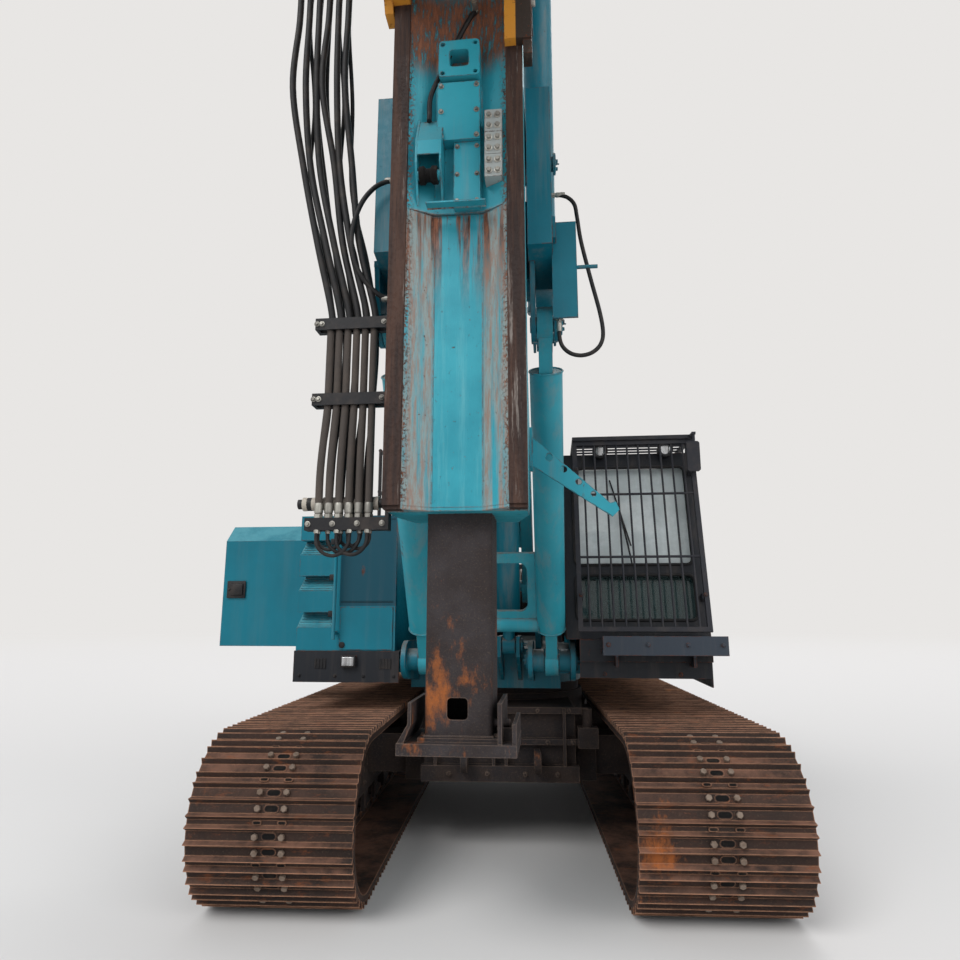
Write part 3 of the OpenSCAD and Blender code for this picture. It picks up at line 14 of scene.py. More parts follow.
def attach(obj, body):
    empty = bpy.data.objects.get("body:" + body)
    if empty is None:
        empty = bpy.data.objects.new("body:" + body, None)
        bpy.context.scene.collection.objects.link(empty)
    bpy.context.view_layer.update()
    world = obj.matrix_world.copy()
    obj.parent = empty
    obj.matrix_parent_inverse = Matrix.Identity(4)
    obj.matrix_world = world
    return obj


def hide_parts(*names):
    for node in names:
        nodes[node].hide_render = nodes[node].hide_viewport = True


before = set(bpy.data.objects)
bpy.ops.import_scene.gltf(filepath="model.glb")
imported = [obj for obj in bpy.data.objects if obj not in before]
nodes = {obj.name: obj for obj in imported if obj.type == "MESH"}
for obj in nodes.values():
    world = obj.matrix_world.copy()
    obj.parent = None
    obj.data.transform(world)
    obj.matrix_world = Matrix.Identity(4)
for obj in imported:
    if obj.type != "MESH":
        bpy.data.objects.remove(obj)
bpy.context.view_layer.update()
random.seed(7)

# Camera, from the straight edges of the photograph
CAM_POS = (0.4962, -7.0414, 1.804)
CAM_YAW = 5.81
CAM_PITCH = 11.0
FOCAL_PX = 690.9
IMAGE_PX = 960
SENSOR_MM = 36.0

# Soft suns: where each stands and its strength
LIGHTS = {"key": ((-7, -12, 13), 1.9), "fill": ((12, -10, 7), 0.8), "back": ((3, 12, 10), 0.7)}
SUN_ANGLE = math.radians(35)

# Sizes shared by several pieces
MAST_FRONT = -3.5
RAIL_X = 0.29
PANEL_X = 0.14
RECESS = 0.105
LEDGE_Z = 4.1
MAST_Z0 = 2.37
TRACK_R = 0.53
GROUSER_H = 0.036
SHOE_W = 1.0
TRACK_GAP = 1.64
TRACK_LEN = 5.6
SHOE_COUNT = 52
PARK_SLEW = 3.0
TRACK_X = (TRACK_GAP + SHOE_W) / 2
RIGHT, LEFT, BACK, FRONT, UP, DOWN = (1, 0, 0), (-1, 0, 0), (0, 1, 0), (0, -1, 0), (0, 0, 1), (0, 0, -1)
SIDES = (-1, 1)


def srgb(r, g, b):
    """Linear colour of an sRGB one given in 0 to 255."""
    def lin(c):
        c /= 255
        return c / 12.92 if c <= 0.04045 else ((c + 0.055) / 1.055) ** 2.4
    return (lin(r), lin(g), lin(b), 1.0)


TEAL = srgb(50, 152, 168)
TEAL_DEEP = srgb(10, 108, 126)
TEAL_PALE = srgb(104, 172, 180)
BODY_TEAL = srgb(4, 114, 133)
CHARCOAL = srgb(27, 30, 36)
RUST = srgb(112, 62, 40)
RUST_DARK = srgb(66, 42, 34)
RUST_ORANGE = srgb(168, 96, 44)
GREY_BROWN = srgb(140, 122, 108)
STEEL = srgb(150, 150, 152)
BLACK = srgb(24, 24, 27)
YELLOW = srgb(206, 140, 48)
DUST = srgb(120, 104, 90)
BACKDROP = srgb(232, 230, 228)


def put(tree, socket, value):
    """Links a socket, or sets a number or a colour."""
    if isinstance(value, bpy.types.NodeSocket):
        tree.links.new(value, socket)
    else:
        socket.default_value = value


def add_node(tree, kind, inputs=(), **settings):
    """Adds a node with its settings, and fills the inputs that are named."""
    node = tree.nodes.new("ShaderNode" + kind)
    for key, value in settings.items():
        setattr(node, key, value)
    for key, value in dict(inputs).items():
        put(tree, node.inputs[key], value)
    return node


class Finish:
    """Builds one node material; a socket or a number or a colour goes in wherever a value is asked for."""

    def __init__(self, name):
        self.mat = bpy.data.materials.new(name)
        self.mat.use_nodes = True
        self.tree = self.mat.node_tree
        self.shader = self.tree.nodes["Principled BSDF"]
        self.coords = self.node("TexCoord").outputs["Object"]

    def node(self, kind, inputs=(), **settings):
        return add_node(self.tree, kind, inputs, **settings)

    def scaled(self, x, y, z):
        return self.node("Mapping", {"Vector": self.coords, "Scale": (x, y, z)}).outputs["Vector"]

    def noise(self, scale, detail=4.0, rough=0.6, vector=None):
        inputs = {"Vector": vector or self.coords, "Scale": scale, "Detail": detail, "Roughness": rough}
        return self.node("TexNoise", inputs).outputs["Fac"]

    def ramp(self, value, low, high, a=0.0, b=1.0):
        inputs = {"Value": value, "From Min": low, "From Max": high, "To Min": a, "To Max": b}
        return self.node("MapRange", inputs, interpolation_type="SMOOTHSTEP").outputs["Result"]

    def math(self, kind, a, b=0.0):
        return self.node("Math", {0: a, 1: b}, operation=kind).outputs["Value"]

    def fold(self, kind, values):
        total = values[0]
        for value in values[1:]:
            total = self.math(kind, total, value)
        return total

    def mul(self, *factors):
        return self.fold("MULTIPLY", factors)

    def most(self, *masks):
        return self.fold("MAXIMUM", masks)

    def add(self, *terms):
        return self.fold("ADD", terms)

    def mix(self, factor, a, b):
        return self.node("Mix", {0: factor, 6: a, 7: b}, data_type="RGBA").outputs[2]

    def axis(self, which):
        return self.node("SeparateXYZ", {0: self.coords}).outputs[which]

    def normal(self):
        return self.node("NewGeometry").outputs["Normal"]

    def up(self):
        """How far the surface faces up, from -1 to 1."""
        return self.node("SeparateXYZ", {0: self.normal()}).outputs["Z"]

    def edge(self, radius):
        """Mask of the sharp edges, 1 on them."""
        bevel = self.node("Bevel", {"Radius": radius}, samples=4)
        dot = self.node("VectorMath", {0: bevel.outputs["Normal"], 1: self.normal()}, operation="DOT_PRODUCT")
        return self.ramp(dot.outputs["Value"], 0.99, 0.85)

    def within(self, limits):
        """Mask of the places inside limits, a table of axis, low and high."""
        sides = []
        for which, low, high in limits:
            value = self.axis(which)
            sides += [self.math("GREATER_THAN", value, low), self.math("LESS_THAN", value, high)]
        return self.mul(*sides)

    def bump(self, height, distance):
        node = self.node("Bump", {"Distance": distance, "Height": height})
        put(self.tree, self.shader.inputs["Normal"], node.outputs["Normal"])

    def rusty_bump(self, grain, share, rust, depth):
        """Relief of grain, sunk where the paint is gone."""
        self.bump(self.math("SUBTRACT", self.mul(grain, share), self.mul(rust, depth)), 0.002)

    def finish(self, color, rough=0.5, metal=0.0, gloss=0.5):
        values = {"Base Color": color, "Roughness": rough, "Metallic": metal, "Specular IOR Level": gloss}
        for key, value in values.items():
            put(self.tree, self.shader.inputs[key], value)
        return self.mat


def worn_paint(name, base, dark, rust_share, dust=0.25, gloss=0.38, streak=0.28, dirt=DUST, other=None):
    """Machine paint with sun fading, rain streaks, chips to rust at the edges, and dust on what faces up.

    other is a colour and the limits of the place painted in it.
    """
    f = Finish(name)
    if other:
        mask = f.within(other[1])
        base, dark = f.mix(mask, base, other[0]), f.mix(mask, dark, other[0])
    fade = f.ramp(f.noise(1.6, 5.0, 0.6), 0.3, 0.75)
    streaks = f.ramp(f.noise(9.0, 5.0, 0.65, f.scaled(1.0, 1.0, 0.07)), 0.48, 0.72)
    color = f.mix(f.mul(fade, 0.45), base, dark)
    color = f.mix(f.mul(streaks, streak), color, GREY_BROWN)
    few = 0.72 - rust_share * 0.1
    spots = f.ramp(f.noise(38.0, 6.0, 0.75), few - 0.03, few)
    edges = f.mul(f.edge(0.012), f.ramp(f.noise(14.0, 5.0, 0.7), 0.42, 0.6))
    patches = f.ramp(f.noise(2.3, 8.0, 0.72, f.scaled(1.0, 1.0, 0.45)), 0.66 - rust_share * 0.12, few)
    rust_mask = f.most(spots, edges, patches)
    rust_color = f.mix(f.ramp(f.noise(24.0, 6.0, 0.7), 0.35, 0.65), RUST_DARK, RUST)
    color = f.mix(rust_mask, color, rust_color)
    settled = f.ramp(f.noise(6.0, 6.0, 0.7), 0.3, 0.6, 0.25, 0.25 + dust * 2)
    color = f.mix(f.mul(f.ramp(f.up(), 0.2, 0.9), settled), color, dirt)
    rough = f.add(f.mul(rust_mask, 0.45), f.ramp(f.noise(30.0), 0.3, 0.7, gloss, gloss + 0.12))
    f.rusty_bump(f.noise(60.0, 5.0, 0.7), 0.25, rust_mask, 0.6)
    return f.finish(color, rough, gloss=0.28)


def rusty_steel(name, base, second, orange=0.2, scale=1.0, top=None, worn=(0.5, srgb(150, 128, 112))):
    """Bare steel gone brown, with orange patches, scratches and caked dirt; top is paler dust and painted
    light on what faces up.
    """
    f = Finish(name)
    broad = f.ramp(f.noise(3.0 * scale, 8.0, 0.7), 0.35, 0.65)
    # Painted light and shade: what faces up turns to the paler top colour, partly as dust, and what faces
    # sideways or down keeps the darker base as painted shade.
    if top:
        base = f.mix(f.ramp(f.up(), 0.3, 0.85), base, top)
    color = f.mix(broad, base, second)
    patches = f.noise(2.0 * scale, 9.0, 0.75, f.scaled(1.0, 1.0, 0.5))
    orange_mask = f.ramp(patches, 0.62 - orange * 0.2, 0.72 - orange * 0.1)
    color = f.mix(f.mul(orange_mask, 0.8), color, RUST_ORANGE)
    grit = f.noise(90.0, 6.0, 0.8)
    color = f.mix(f.ramp(grit, 0.5, 0.75, 0.0, 0.5), color, DUST)
    scratches = f.noise(16.0 * scale, 8.0, 0.8, f.scaled(0.35, 1.0, 1.0))
    color = f.mix(f.ramp(scratches, 0.55, 0.66, 0.0, 0.6 if top else 0.0), color, srgb(128, 74, 44))
    share = f.ramp(f.noise(7.0, 6.0, 0.7), 0.3, 0.6, worn[0] * 0.35, worn[0])
    color = f.mix(f.mul(f.edge(0.010 if top else 0.008), share), color, worn[1])
    f.bump(f.add(grit, f.noise(20.0, 6.0, 0.7)), 0.004)
    return f.finish(color, f.ramp(grit, 0.3, 0.7, 0.62, 0.9), 0.15, 0.25)


def bare_metal(name, base, rough=0.35):
    f = Finish(name)
    grain = f.noise(12.0, 6.0, 0.7, f.scaled(1.0, 1.0, 0.1))
    color = f.mix(f.ramp(grain, 0.35, 0.7), base, srgb(96, 92, 90))
    f.bump(f.noise(80.0, 4.0), 0.0008)
    return f.finish(color, f.ramp(grain, 0.3, 0.7, rough, rough + 0.25), 0.85)


def soft_black(name, base, rough=0.6, grain=160.0, depth=0.001):
    """Rubber, cloth or dull paint with a fine grain and a little dust."""
    f = Finish(name)
    n = f.noise(grain, 4.0, 0.7)
    dust = f.ramp(f.noise(7.0, 6.0, 0.7), 0.45, 0.75, 0.0, 0.14)
    f.bump(n, depth)
    return f.finish(f.mix(dust, base, DUST), f.ramp(n, 0.3, 0.7, rough, rough + 0.2), gloss=0.3)


def glass(name, tint):
    """Smeared glass; the upper front window is painted pale, a painted reflection of the sky, the lower one
    is dark and greenish.
    """
    f = Finish(name)
    smear = f.noise(5.0, 6.0, 0.7)
    f.bump(smear, 0.0004)
    upper = f.within(((1, -1.75, -1.30), (2, 2.14, 3.0)))
    lower = f.within(((1, -1.75, -1.40), (2, 1.70, 2.14)))
    dirt = f.ramp(smear, 0.4, 0.75, 0.02, 0.2)
    # Painted reflection: the upper pane is made less clear and pale, standing in for the sky it reflects.
    put(f.tree, f.shader.inputs["Alpha"], f.add(dirt, 0.28, f.mul(upper, 0.24), f.mul(lower, 0.42)))
    color = f.mix(upper, f.mix(lower, tint, srgb(58, 74, 74)), srgb(228, 236, 236))
    return f.finish(color, 0.06)


def mast_paint(name):
    """Paint of the mast's front: slanted panels worn grey-brown, the middle bright with runs of rust."""
    f = Finish(name)
    x = f.math("ABSOLUTE", f.axis("X"))
    y = f.axis("Y")
    z = f.axis("Z")
    tall = f.scaled(1.0, 1.0, 0.06)
    streak = f.noise(16.0, 7.0, 0.7, tall)
    fine = f.noise(46.0, 7.0, 0.75, f.scaled(1.0, 1.0, 0.18))
    color = f.mix(f.ramp(f.noise(2.0, 5.0), 0.35, 0.7, 0.0, 0.45), TEAL, TEAL_DEEP)
    color = f.mix(f.ramp(streak, 0.5, 0.75, 0.0, 0.45), color, TEAL_PALE)
    front = f.ramp(y, MAST_FRONT + 0.14, MAST_FRONT + 0.12)
    low = f.ramp(z, LEDGE_Z + 0.02, LEDGE_Z - 0.02)
    slant = f.ramp(x, PANEL_X - 0.01, PANEL_X + 0.02)
    grey = f.mix(f.ramp(fine, 0.4, 0.62), srgb(142, 150, 146), srgb(150, 112, 92))
    color = f.mix(f.mul(slant, front, low, f.ramp(streak, 0.36, 0.56), 0.85), color, grey)
    near_ledge = f.mul(f.ramp(z, LEDGE_Z - 0.7, LEDGE_Z), low, front)
    runs = f.mul(near_ledge, f.ramp(f.noise(13.0, 4.0, 0.6, tall), 0.5, 0.6))
    scattered = f.ramp(f.noise(30.0, 7.0, 0.78), 0.63, 0.66)
    chips = f.mul(f.ramp(x, 0.235, 0.285), front, f.ramp(f.noise(58.0, 6.0, 0.78), 0.52, 0.55))
    edges = f.mul(f.edge(0.012), f.ramp(f.noise(12.0, 5.0, 0.7), 0.38, 0.55))
    high_patch = f.mul(f.ramp(z, 4.95, 5.15), front, f.ramp(fine, 0.34, 0.5), f.ramp(z, 5.7, 5.5))
    rust_mask = f.most(runs, scattered, chips, edges, high_patch)
    color = f.mix(rust_mask, color, f.mix(f.ramp(fine, 0.35, 0.65), RUST_DARK, srgb(142, 92, 68)))
    rail_front = f.ramp(y, MAST_FRONT + 0.1, MAST_FRONT + 0.08)
    rail = f.mul(f.ramp(x, RAIL_X - 0.004, RAIL_X - 0.001), rail_front)
    rail_color = f.mix(f.ramp(streak, 0.4, 0.65), srgb(42, 30, 27), srgb(76, 55, 46))
    scuffs = f.ramp(f.noise(30.0, 6.0, 0.75, tall), 0.58, 0.7)
    color = f.mix(rail, color, f.mix(scuffs, rail_color, srgb(126, 118, 112)))
    rust_mask = f.most(rust_mask, f.mul(rail, 0.7))
    f.rusty_bump(fine, 0.3, rust_mask, 0.7)
    rough = f.add(f.mul(rust_mask, 0.4), f.ramp(streak, 0.3, 0.7, 0.36, 0.55))
    return f.finish(color, rough, gloss=0.3)


GREY_STOPS = (srgb(158, 164, 162), ((0, 0.15, 0.28), (2, 4.2, 5.15), (1, -3.6, -3.3)))
BOX_RAIL = (BODY_TEAL, ((1, -2.0, -1.3),))
# Painted shade: a darker teal on the upper part of the front box.
BOX_PAINTED_SHADE = (srgb(6, 70, 86), ((0, -1.20, -0.70), (1, -1.6, -1.5), (2, 1.87, 2.62)))
CAB_LEDGE = (srgb(52, 60, 70), ((0, 0.8, 1.9), (1, -1.95, -1.78), (2, 1.5, 1.72)))
DARK_CLAW = (srgb(52, 42, 36), ((0, 0.352, 0.60), (2, 4.9, 5.62)))
MATS = {
    "teal": worn_paint("teal_paint", TEAL, TEAL_DEEP, 0.3),
    "fittings": worn_paint("fittings_paint", TEAL, TEAL_DEEP, 0.3, other=GREY_STOPS),
    "handrail": worn_paint("handrail_paint", BLACK, srgb(36, 36, 38), 0.1, 0.1, other=BOX_RAIL),
    "body": worn_paint("hood_paint", BODY_TEAL, srgb(6, 88, 104), 0.0, 0.3, 0.3, 0.06, srgb(86, 156, 168),
                       BOX_PAINTED_SHADE),
    "teal_dark": worn_paint("dark_teal_paint", TEAL_DEEP, srgb(8, 74, 88), 0.2),
    "mast": mast_paint("mast_paint"),
    "charcoal": worn_paint("charcoal_paint", CHARCOAL, srgb(20, 22, 27), 0.0, 0.06, 0.45, 0.10,
                           srgb(84, 82, 82), CAB_LEDGE),
    "guard": soft_black("guard_paint", srgb(38, 39, 45), 0.5),
    # Track steel: the dark base on the fronts and sides is painted shade, and the paler top colour on what
    # faces up is dust and painted light.
    "track": rusty_steel("track_steel", srgb(60, 44, 38), srgb(44, 36, 33), 0.12, 1.0, srgb(122, 88, 72),
                         (0.9, srgb(178, 132, 104))),
    "track_bolt": rusty_steel("track_bolt_steel", srgb(132, 118, 106), srgb(104, 88, 76), 0.0, 3.0),
    "frame": rusty_steel("undercarriage_steel", srgb(40, 37, 39), srgb(54, 44, 40), -0.1),
    "leg": rusty_steel("leg_steel", srgb(58, 54, 56), srgb(46, 40, 40), 0.24),
    "yellow": worn_paint("yellow_paint", YELLOW, srgb(150, 92, 36), 0.8, 0.6, 0.5, other=DARK_CLAW),
    "steel": bare_metal("bare_steel", STEEL),
    "chrome": bare_metal("rod_steel", srgb(196, 198, 200), 0.12),
    "black": soft_black("black_paint", BLACK, 0.45),
    "rubber": soft_black("hose_rubber", srgb(20, 20, 22), 0.5, 240.0, 0.0006),
    "sleeve": soft_black("hose_sleeve", srgb(74, 68, 64), 0.8, 300.0, 0.002),
    "seat": soft_black("seat_cover", srgb(26, 26, 28), 0.75, 220.0, 0.002),
    "glass": glass("window_glass", srgb(116, 134, 138)),
    "lamp": bare_metal("lamp_glass", srgb(210, 212, 214), 0.1),
    "dark": soft_black("dark_hole", srgb(10, 9, 9), 0.9, 120.0, 0.0004),
    "rope": bare_metal("wire_rope", srgb(92, 84, 78), 0.45),
    "bolt": bare_metal("zinc_bolts", srgb(168, 166, 158), 0.4),
    "roller": soft_black("pale_roller", srgb(176, 168, 156), 0.6, 90.0, 0.0006),
    "red": soft_black("red_lens", srgb(150, 16, 14), 0.25, 60.0, 0.0003),
}

NODE_FINISH = {
    "frame": "car_body slew_ring track_frame_left track_frame_right idler_left idler_right sprocket_left"
             " sprocket_right",
    "track": "crawler_left crawler_right",
    "teal": "boom link_rods mast_head rotary_drive hook_arm",
    "teal_dark": "platform luff_barrels mast_bracket mast_barrels",
    "body": "front_box front_bay engine_hood side_hood hood_door_left hood_door_right",
    "charcoal": "skirts engine_block counterweight exhaust winch_frame cab_shell cab_door head_sheave_main"
                " head_sheave_aux valve_bank",
    "handrail": "guard_rails",
    "steel": "main_winch aux_winch crowd_winch drive_sleeve",
    "glass": "cab_glass",
    "guard": "cab_guard cab_roof_guard",
    "seat": "cab_seat",
    "chrome": "luff_rods mast_rods",
    "mast": "mast_lower mast_upper",
    "fittings": "mast_fittings",
    "black": "hose_carrier cab_lamps",
    "leg": "foot_leg foot_pad",
    "yellow": "drive_sledge",
}
for finish_name, node_names in NODE_FINISH.items():
    for node_name in node_names.split():
        slots = nodes[node_name].material_slots
        for slot_index in range(len(slots)):
            slots[slot_index].material = MATS[finish_name]
        if not slots:
            nodes[node_name].data.materials.append(MATS[finish_name])


def add_object(name, data):
    obj = bpy.data.objects.new(name, data)
    bpy.context.scene.collection.objects.link(obj)
    return obj


def stage():
    """Pale floor and backdrop, soft lights and the camera at the photograph's place."""
    mesh = bpy.data.meshes.new("floor")
    bm = bmesh.new()
    bmesh.ops.create_grid(bm, x_segments=1, y_segments=1, size=120)
    bm.to_mesh(mesh)
    bm.free()
    floor = add_object("floor", mesh)
    f = Finish("floor")
    surface = f.finish(srgb(214, 212, 210), 0.9)
    # Far from the object the floor runs into the backdrop's colour
    far = f.ramp(f.node("VectorMath", {0: f.coords}, operation="LENGTH").outputs["Value"], 14.0, 70.0)
    shown = f.mul(far, f.node("LightPath").outputs["Is Camera Ray"])
    glow = f.node("Emission", {"Color": BACKDROP}).outputs[0]
    blend = f.node("MixShader", {0: shown, 1: f.shader.outputs[0], 2: glow})
    f.tree.links.new(blend.outputs[0], f.tree.nodes["Material Output"].inputs["Surface"])
    floor.data.materials.append(surface)

    world = bpy.data.worlds.new("studio")
    world.use_nodes = True
    tree = world.node_tree
    background = tree.nodes["Background"]
    background.inputs["Color"].default_value = (0.86, 0.88, 0.92, 1)
    background.inputs["Strength"].default_value = 0.62
    backdrop = add_node(tree, "Background", {"Color": BACKDROP, "Strength": 1.0}).outputs[0]
    rays = add_node(tree, "LightPath").outputs
    seen = rays["Is Camera Ray"]
    for ray in ("Is Glossy Ray", "Is Transmission Ray"):
        seen = add_node(tree, "Math", {0: seen, 1: rays[ray]}, operation="MAXIMUM").outputs[0]
    mix = add_node(tree, "MixShader", {0: seen, 1: background.outputs[0], 2: backdrop})
    tree.links.new(mix.outputs[0], tree.nodes["World Output"].inputs["Surface"])
    bpy.context.scene.world = world

    for name, (place, strength) in LIGHTS.items():
        data = bpy.data.lights.new(name, "SUN")
        data.energy = strength
        data.angle = SUN_ANGLE
        add_object(name, data).rotation_euler = Vector(place).to_track_quat("Z", "Y").to_euler()

    camera_data = bpy.data.cameras.new("camera")
    camera_data.sensor_width = SENSOR_MM
    camera_data.lens = FOCAL_PX / IMAGE_PX * SENSOR_MM
    camera = add_object("camera", camera_data)
    camera.location = CAM_POS
    camera.rotation_euler = (math.radians(90 + CAM_PITCH), 0, math.radians(CAM_YAW))
    bpy.context.scene.camera = camera
    bpy.context.scene.view_settings.view_transform = "Standard"


# Tools for the modelled pieces

# Length of weld from one ripple to the next
RIPPLE = 0.012


def piece(name, body, finish, bm, smooth=40):
    """Turns a bmesh into a named piece that rides on a body."""
    bmesh.ops.recalc_face_normals(bm, faces=bm.faces)
    mesh = bpy.data.meshes.new(name)
    bm.to_mesh(mesh)
    bm.free()
    mesh.materials.append(MATS[finish])
    obj = add_object(name, mesh)
    mesh.shade_smooth()
    mesh.set_sharp_from_angle(angle=math.radians(smooth))
    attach(obj, body)
    return obj


def blanks(count):
    return [bmesh.new() for _ in range(count)]


def about(middle, half):
    return (middle - half, middle + half)


def span(a, b):
    """Limits from two values in either order."""
    return (min(a, b), max(a, b))


def circle(radius, count, start=0.0):
    angles = [start + math.tau * k / count for k in range(count)]
    return [(radius * math.cos(a), radius * math.sin(a)) for a in angles]


def rectangle(a0, a1, b0, b1):
    return [(a0, b0), (a1, b0), (a1, b1), (a0, b1)]


def facing(place, normal, spin=0.0):
    """Matrix that stands a thing drawn along Z at a place, along a normal."""
    turn = Vector(UP).rotation_difference(Vector(normal)).to_matrix().to_4x4()
    return Matrix.Translation(place) @ turn @ Matrix.Rotation(spin, 4, "Z")


def skin(bm, rings, ends=True):
    """Faces from ring to ring of vertices, where a ring of one vertex is a tip, and over both ends."""
    for low, high in zip(rings, rings[1:]):
        count = max(len(low), len(high))
        for k in range(count):
            n = (k + 1) % count
            if len(low) == 1:
                bm.faces.new((low[0], high[n], high[k]))
            elif len(high) == 1:
                bm.faces.new((low[k], low[n], high[0]))
            else:
                bm.faces.new((low[k], low[n], high[n], high[k]))
    if ends:
        for ring in (rings[0], rings[-1]):
            if len(ring) > 1:
                bm.faces.new(ring)


def lathe(bm, place, normal, profile, sides=20, spin=0.0):
    """Turned shape: profile is a row of (height, radius) along the normal, closed at both ends."""
    m = facing(place, normal, spin)
    skin(bm, [[bm.verts.new(m @ Vector((u, v, height))) for u, v in circle(radius, sides if radius else 1)]
              for height, radius in profile])


def bolt(bm, place, normal, size=0.024, washer=True, sunk=0.002):
    """Hex head across the flats given by size, on a washer, seated a little into its surface."""
    if washer:
        rim = [(-sunk, size * 0.82), (size * 0.14, size * 0.82), (size * 0.18, size * 0.76)]
        lathe(bm, place, normal, rim, 12)
    base = size * 0.15
    r = size * 0.577
    profile = [(base, r), (base + size * 0.52, r), (base + size * 0.62, r * 0.84)]
    lathe(bm, place, normal, profile, 6, random.uniform(0, 1.0))


def bolts(bm, x, y, z, normal, size):
    """Bolts at all places with these coordinates, each a number or a tuple; x changes slowest."""
    for place in product(*[row if isinstance(row, tuple) else (row,) for row in (x, y, z)]):
        bolt(bm, place, normal, size)


def ring_of_bolts(bm, centre, normal, radius, count, size, start=0.0):
    m = facing(centre, normal)
    for u, v in circle(radius, count, start):
        bolt(bm, m @ Vector((u, v, 0)), normal, size)


def slab(bm, x, y, z, bevel=0.004, segments=2, matrix=None):
    """Block given by its limits, with rounded edges."""
    verts = bmesh.ops.create_cube(bm, size=1.0)["verts"]
    for v in verts:
        v.co = Vector([limits[0] if c < 0 else limits[1] for c, limits in zip(v.co, (x, y, z))])
        if matrix:
            v.co = matrix @ v.co
    if bevel:
        edges = list({e for v in verts for e in v.link_edges})
        bmesh.ops.bevel(bm, geom=edges, offset=bevel, segments=segments, affect="EDGES", profile=0.5)


def smooth_path(points, steps=8):
    """Catmull-Rom curve through the points."""
    pts = [Vector(p) for p in points]
    pts = [2 * pts[0] - pts[1]] + pts + [2 * pts[-1] - pts[-2]]
    out = []
    for a, b, c, d in zip(pts, pts[1:], pts[2:], pts[3:]):
        for k in range(steps):
            t = k / steps
            out.append(0.5 * (2 * b + (c - a) * t + (2 * a - 5 * b + 4 * c - d) * t * t
                              + (3 * b - a - 3 * c + d) * t ** 3))
    out.append(pts[-2])
    return out


def ring_at(bm, place, side, ahead, radius, sides):
    """Ring of vertices round a place on a path."""
    other = ahead.cross(side)
    return [bm.verts.new(place + side * u + other * v) for u, v in circle(radius, sides)]


def tube(bm, points, radius, sides=12, steps=8, closed_ends=True):
    """Round tube along the curve through the points."""
    path = smooth_path(points, steps) if steps > 1 else [Vector(p) for p in points]
    side = (path[1] - path[0]).normalized().orthogonal().normalized()
    rings = []
    for i, place in enumerate(path):
        ahead = (path[min(i + 1, len(path) - 1)] - path[max(i - 1, 0)]).normalized()
        side = (side - ahead * side.dot(ahead)).normalized()
        rings.append(ring_at(bm, place, side, ahead, radius, sides))
    skin(bm, rings, closed_ends)


def fitting(bm, place, normal, r):
    """Crimped hose end with its hex nut, drawn from the block outward."""
    lathe(bm, place, normal, [(-0.003, r * 1.25), (0.022, r * 1.25), (0.024, r * 1.1)], 6)
    lathe(bm, place, normal, [(0.02, r * 0.8), (0.03, r * 1.15), (0.036, r * 1.22), (0.05, r * 1.15),
                              (0.064, r * 1.22), (0.078, r * 1.15), (0.085, r * 1.08)], 16)


def weld(bm, a, b, size=0.008):
    """Bead of weld along an edge from a to b, as a tube whose thickness ripples."""
    a, b = Vector(a), Vector(b)
    count = 2 * max(int((b - a).length / RIPPLE), 2)
    ahead = (b - a).normalized()
    side = ahead.orthogonal().normalized()
    skin(bm, [ring_at(bm, a.lerp(b, i / count), side, ahead, size * (1.0 if i % 2 else 0.78), 6)
              for i in range(count + 1)])


# Tracks: bolts, clean-out slots and notches on every shoe, and caps on the wheels

AXLE_Y = TRACK_LEN / 2 - TRACK_R
LOOP_R = TRACK_R - GROUSER_H
STRAIGHT = 2 * AXLE_Y
ARC = math.pi * LOOP_R
PITCH = (2 * STRAIGHT + 2 * ARC) / SHOE_COUNT
BOLT_X = 0.08
NOTCH_X = 0.075
# Places of the bolts and windows along a shoe, as shares of its pitch
ROW_SHARES = (0.315, 0.685)
ROUND_STEPS = 6
LINK_PIN_END = [(-0.004, 0.026), (0.012, 0.026), (0.016, 0.021)]
PARK = Matrix.Rotation(math.radians(PARK_SLEW), 4, "Z")
PARK_TURN = PARK.to_3x3()


def loop_at(s, out=0.0):
    """Place and normal on the shoes' surface at the distance s along the loop, in the track's Y-Z plane."""
    s %= 2 * (STRAIGHT + ARC)
    r = LOOP_R + out
    half = -1 if s < STRAIGHT + ARC else 1
    along = s if half < 0 else s - STRAIGHT - ARC
    if along < STRAIGHT:
        return (half * (AXLE_Y - along), TRACK_R - half * r), (0.0, -half)
    a = (along - STRAIGHT) / LOOP_R
    return (-half * (AXLE_Y + r * math.sin(a)), TRACK_R - half * r * math.cos(a)), (
        -half * math.sin(a), -half * math.cos(a))


def on_track(side, x, s, out=0.0):
    """Place, normal and heading in the object's frame of a point on a track."""
    (y, z), (ny, nz) = loop_at(s, out)
    place = PARK @ Vector((side * TRACK_X + x, y, z))
    return place, PARK_TURN @ Vector((0, ny, nz)), PARK_TURN @ Vector((0, nz, -ny))


def plate_on(bm, spot, width, length, height):
    """Low plate with round ends across the track, lying on the shoe."""
    place, normal, heading = spot
    across = heading.cross(normal)
    r = length / 2
    outline = []
    for e in (1, -1):
        for k in range(ROUND_STEPS + 1):
            a = -math.pi / 2 + math.pi * k / ROUND_STEPS
            outline.append((e * (width / 2 - r + r * math.cos(a)), e * r * math.sin(a)))
    skin(bm, [[bm.verts.new(place + across * (u + (grow if u > 0 else -grow)) + heading * v + normal * h)
               for u, v in outline] for h, grow in ((-0.004, 0.0), (height * 0.7, 0.0), (height, -0.0015))])


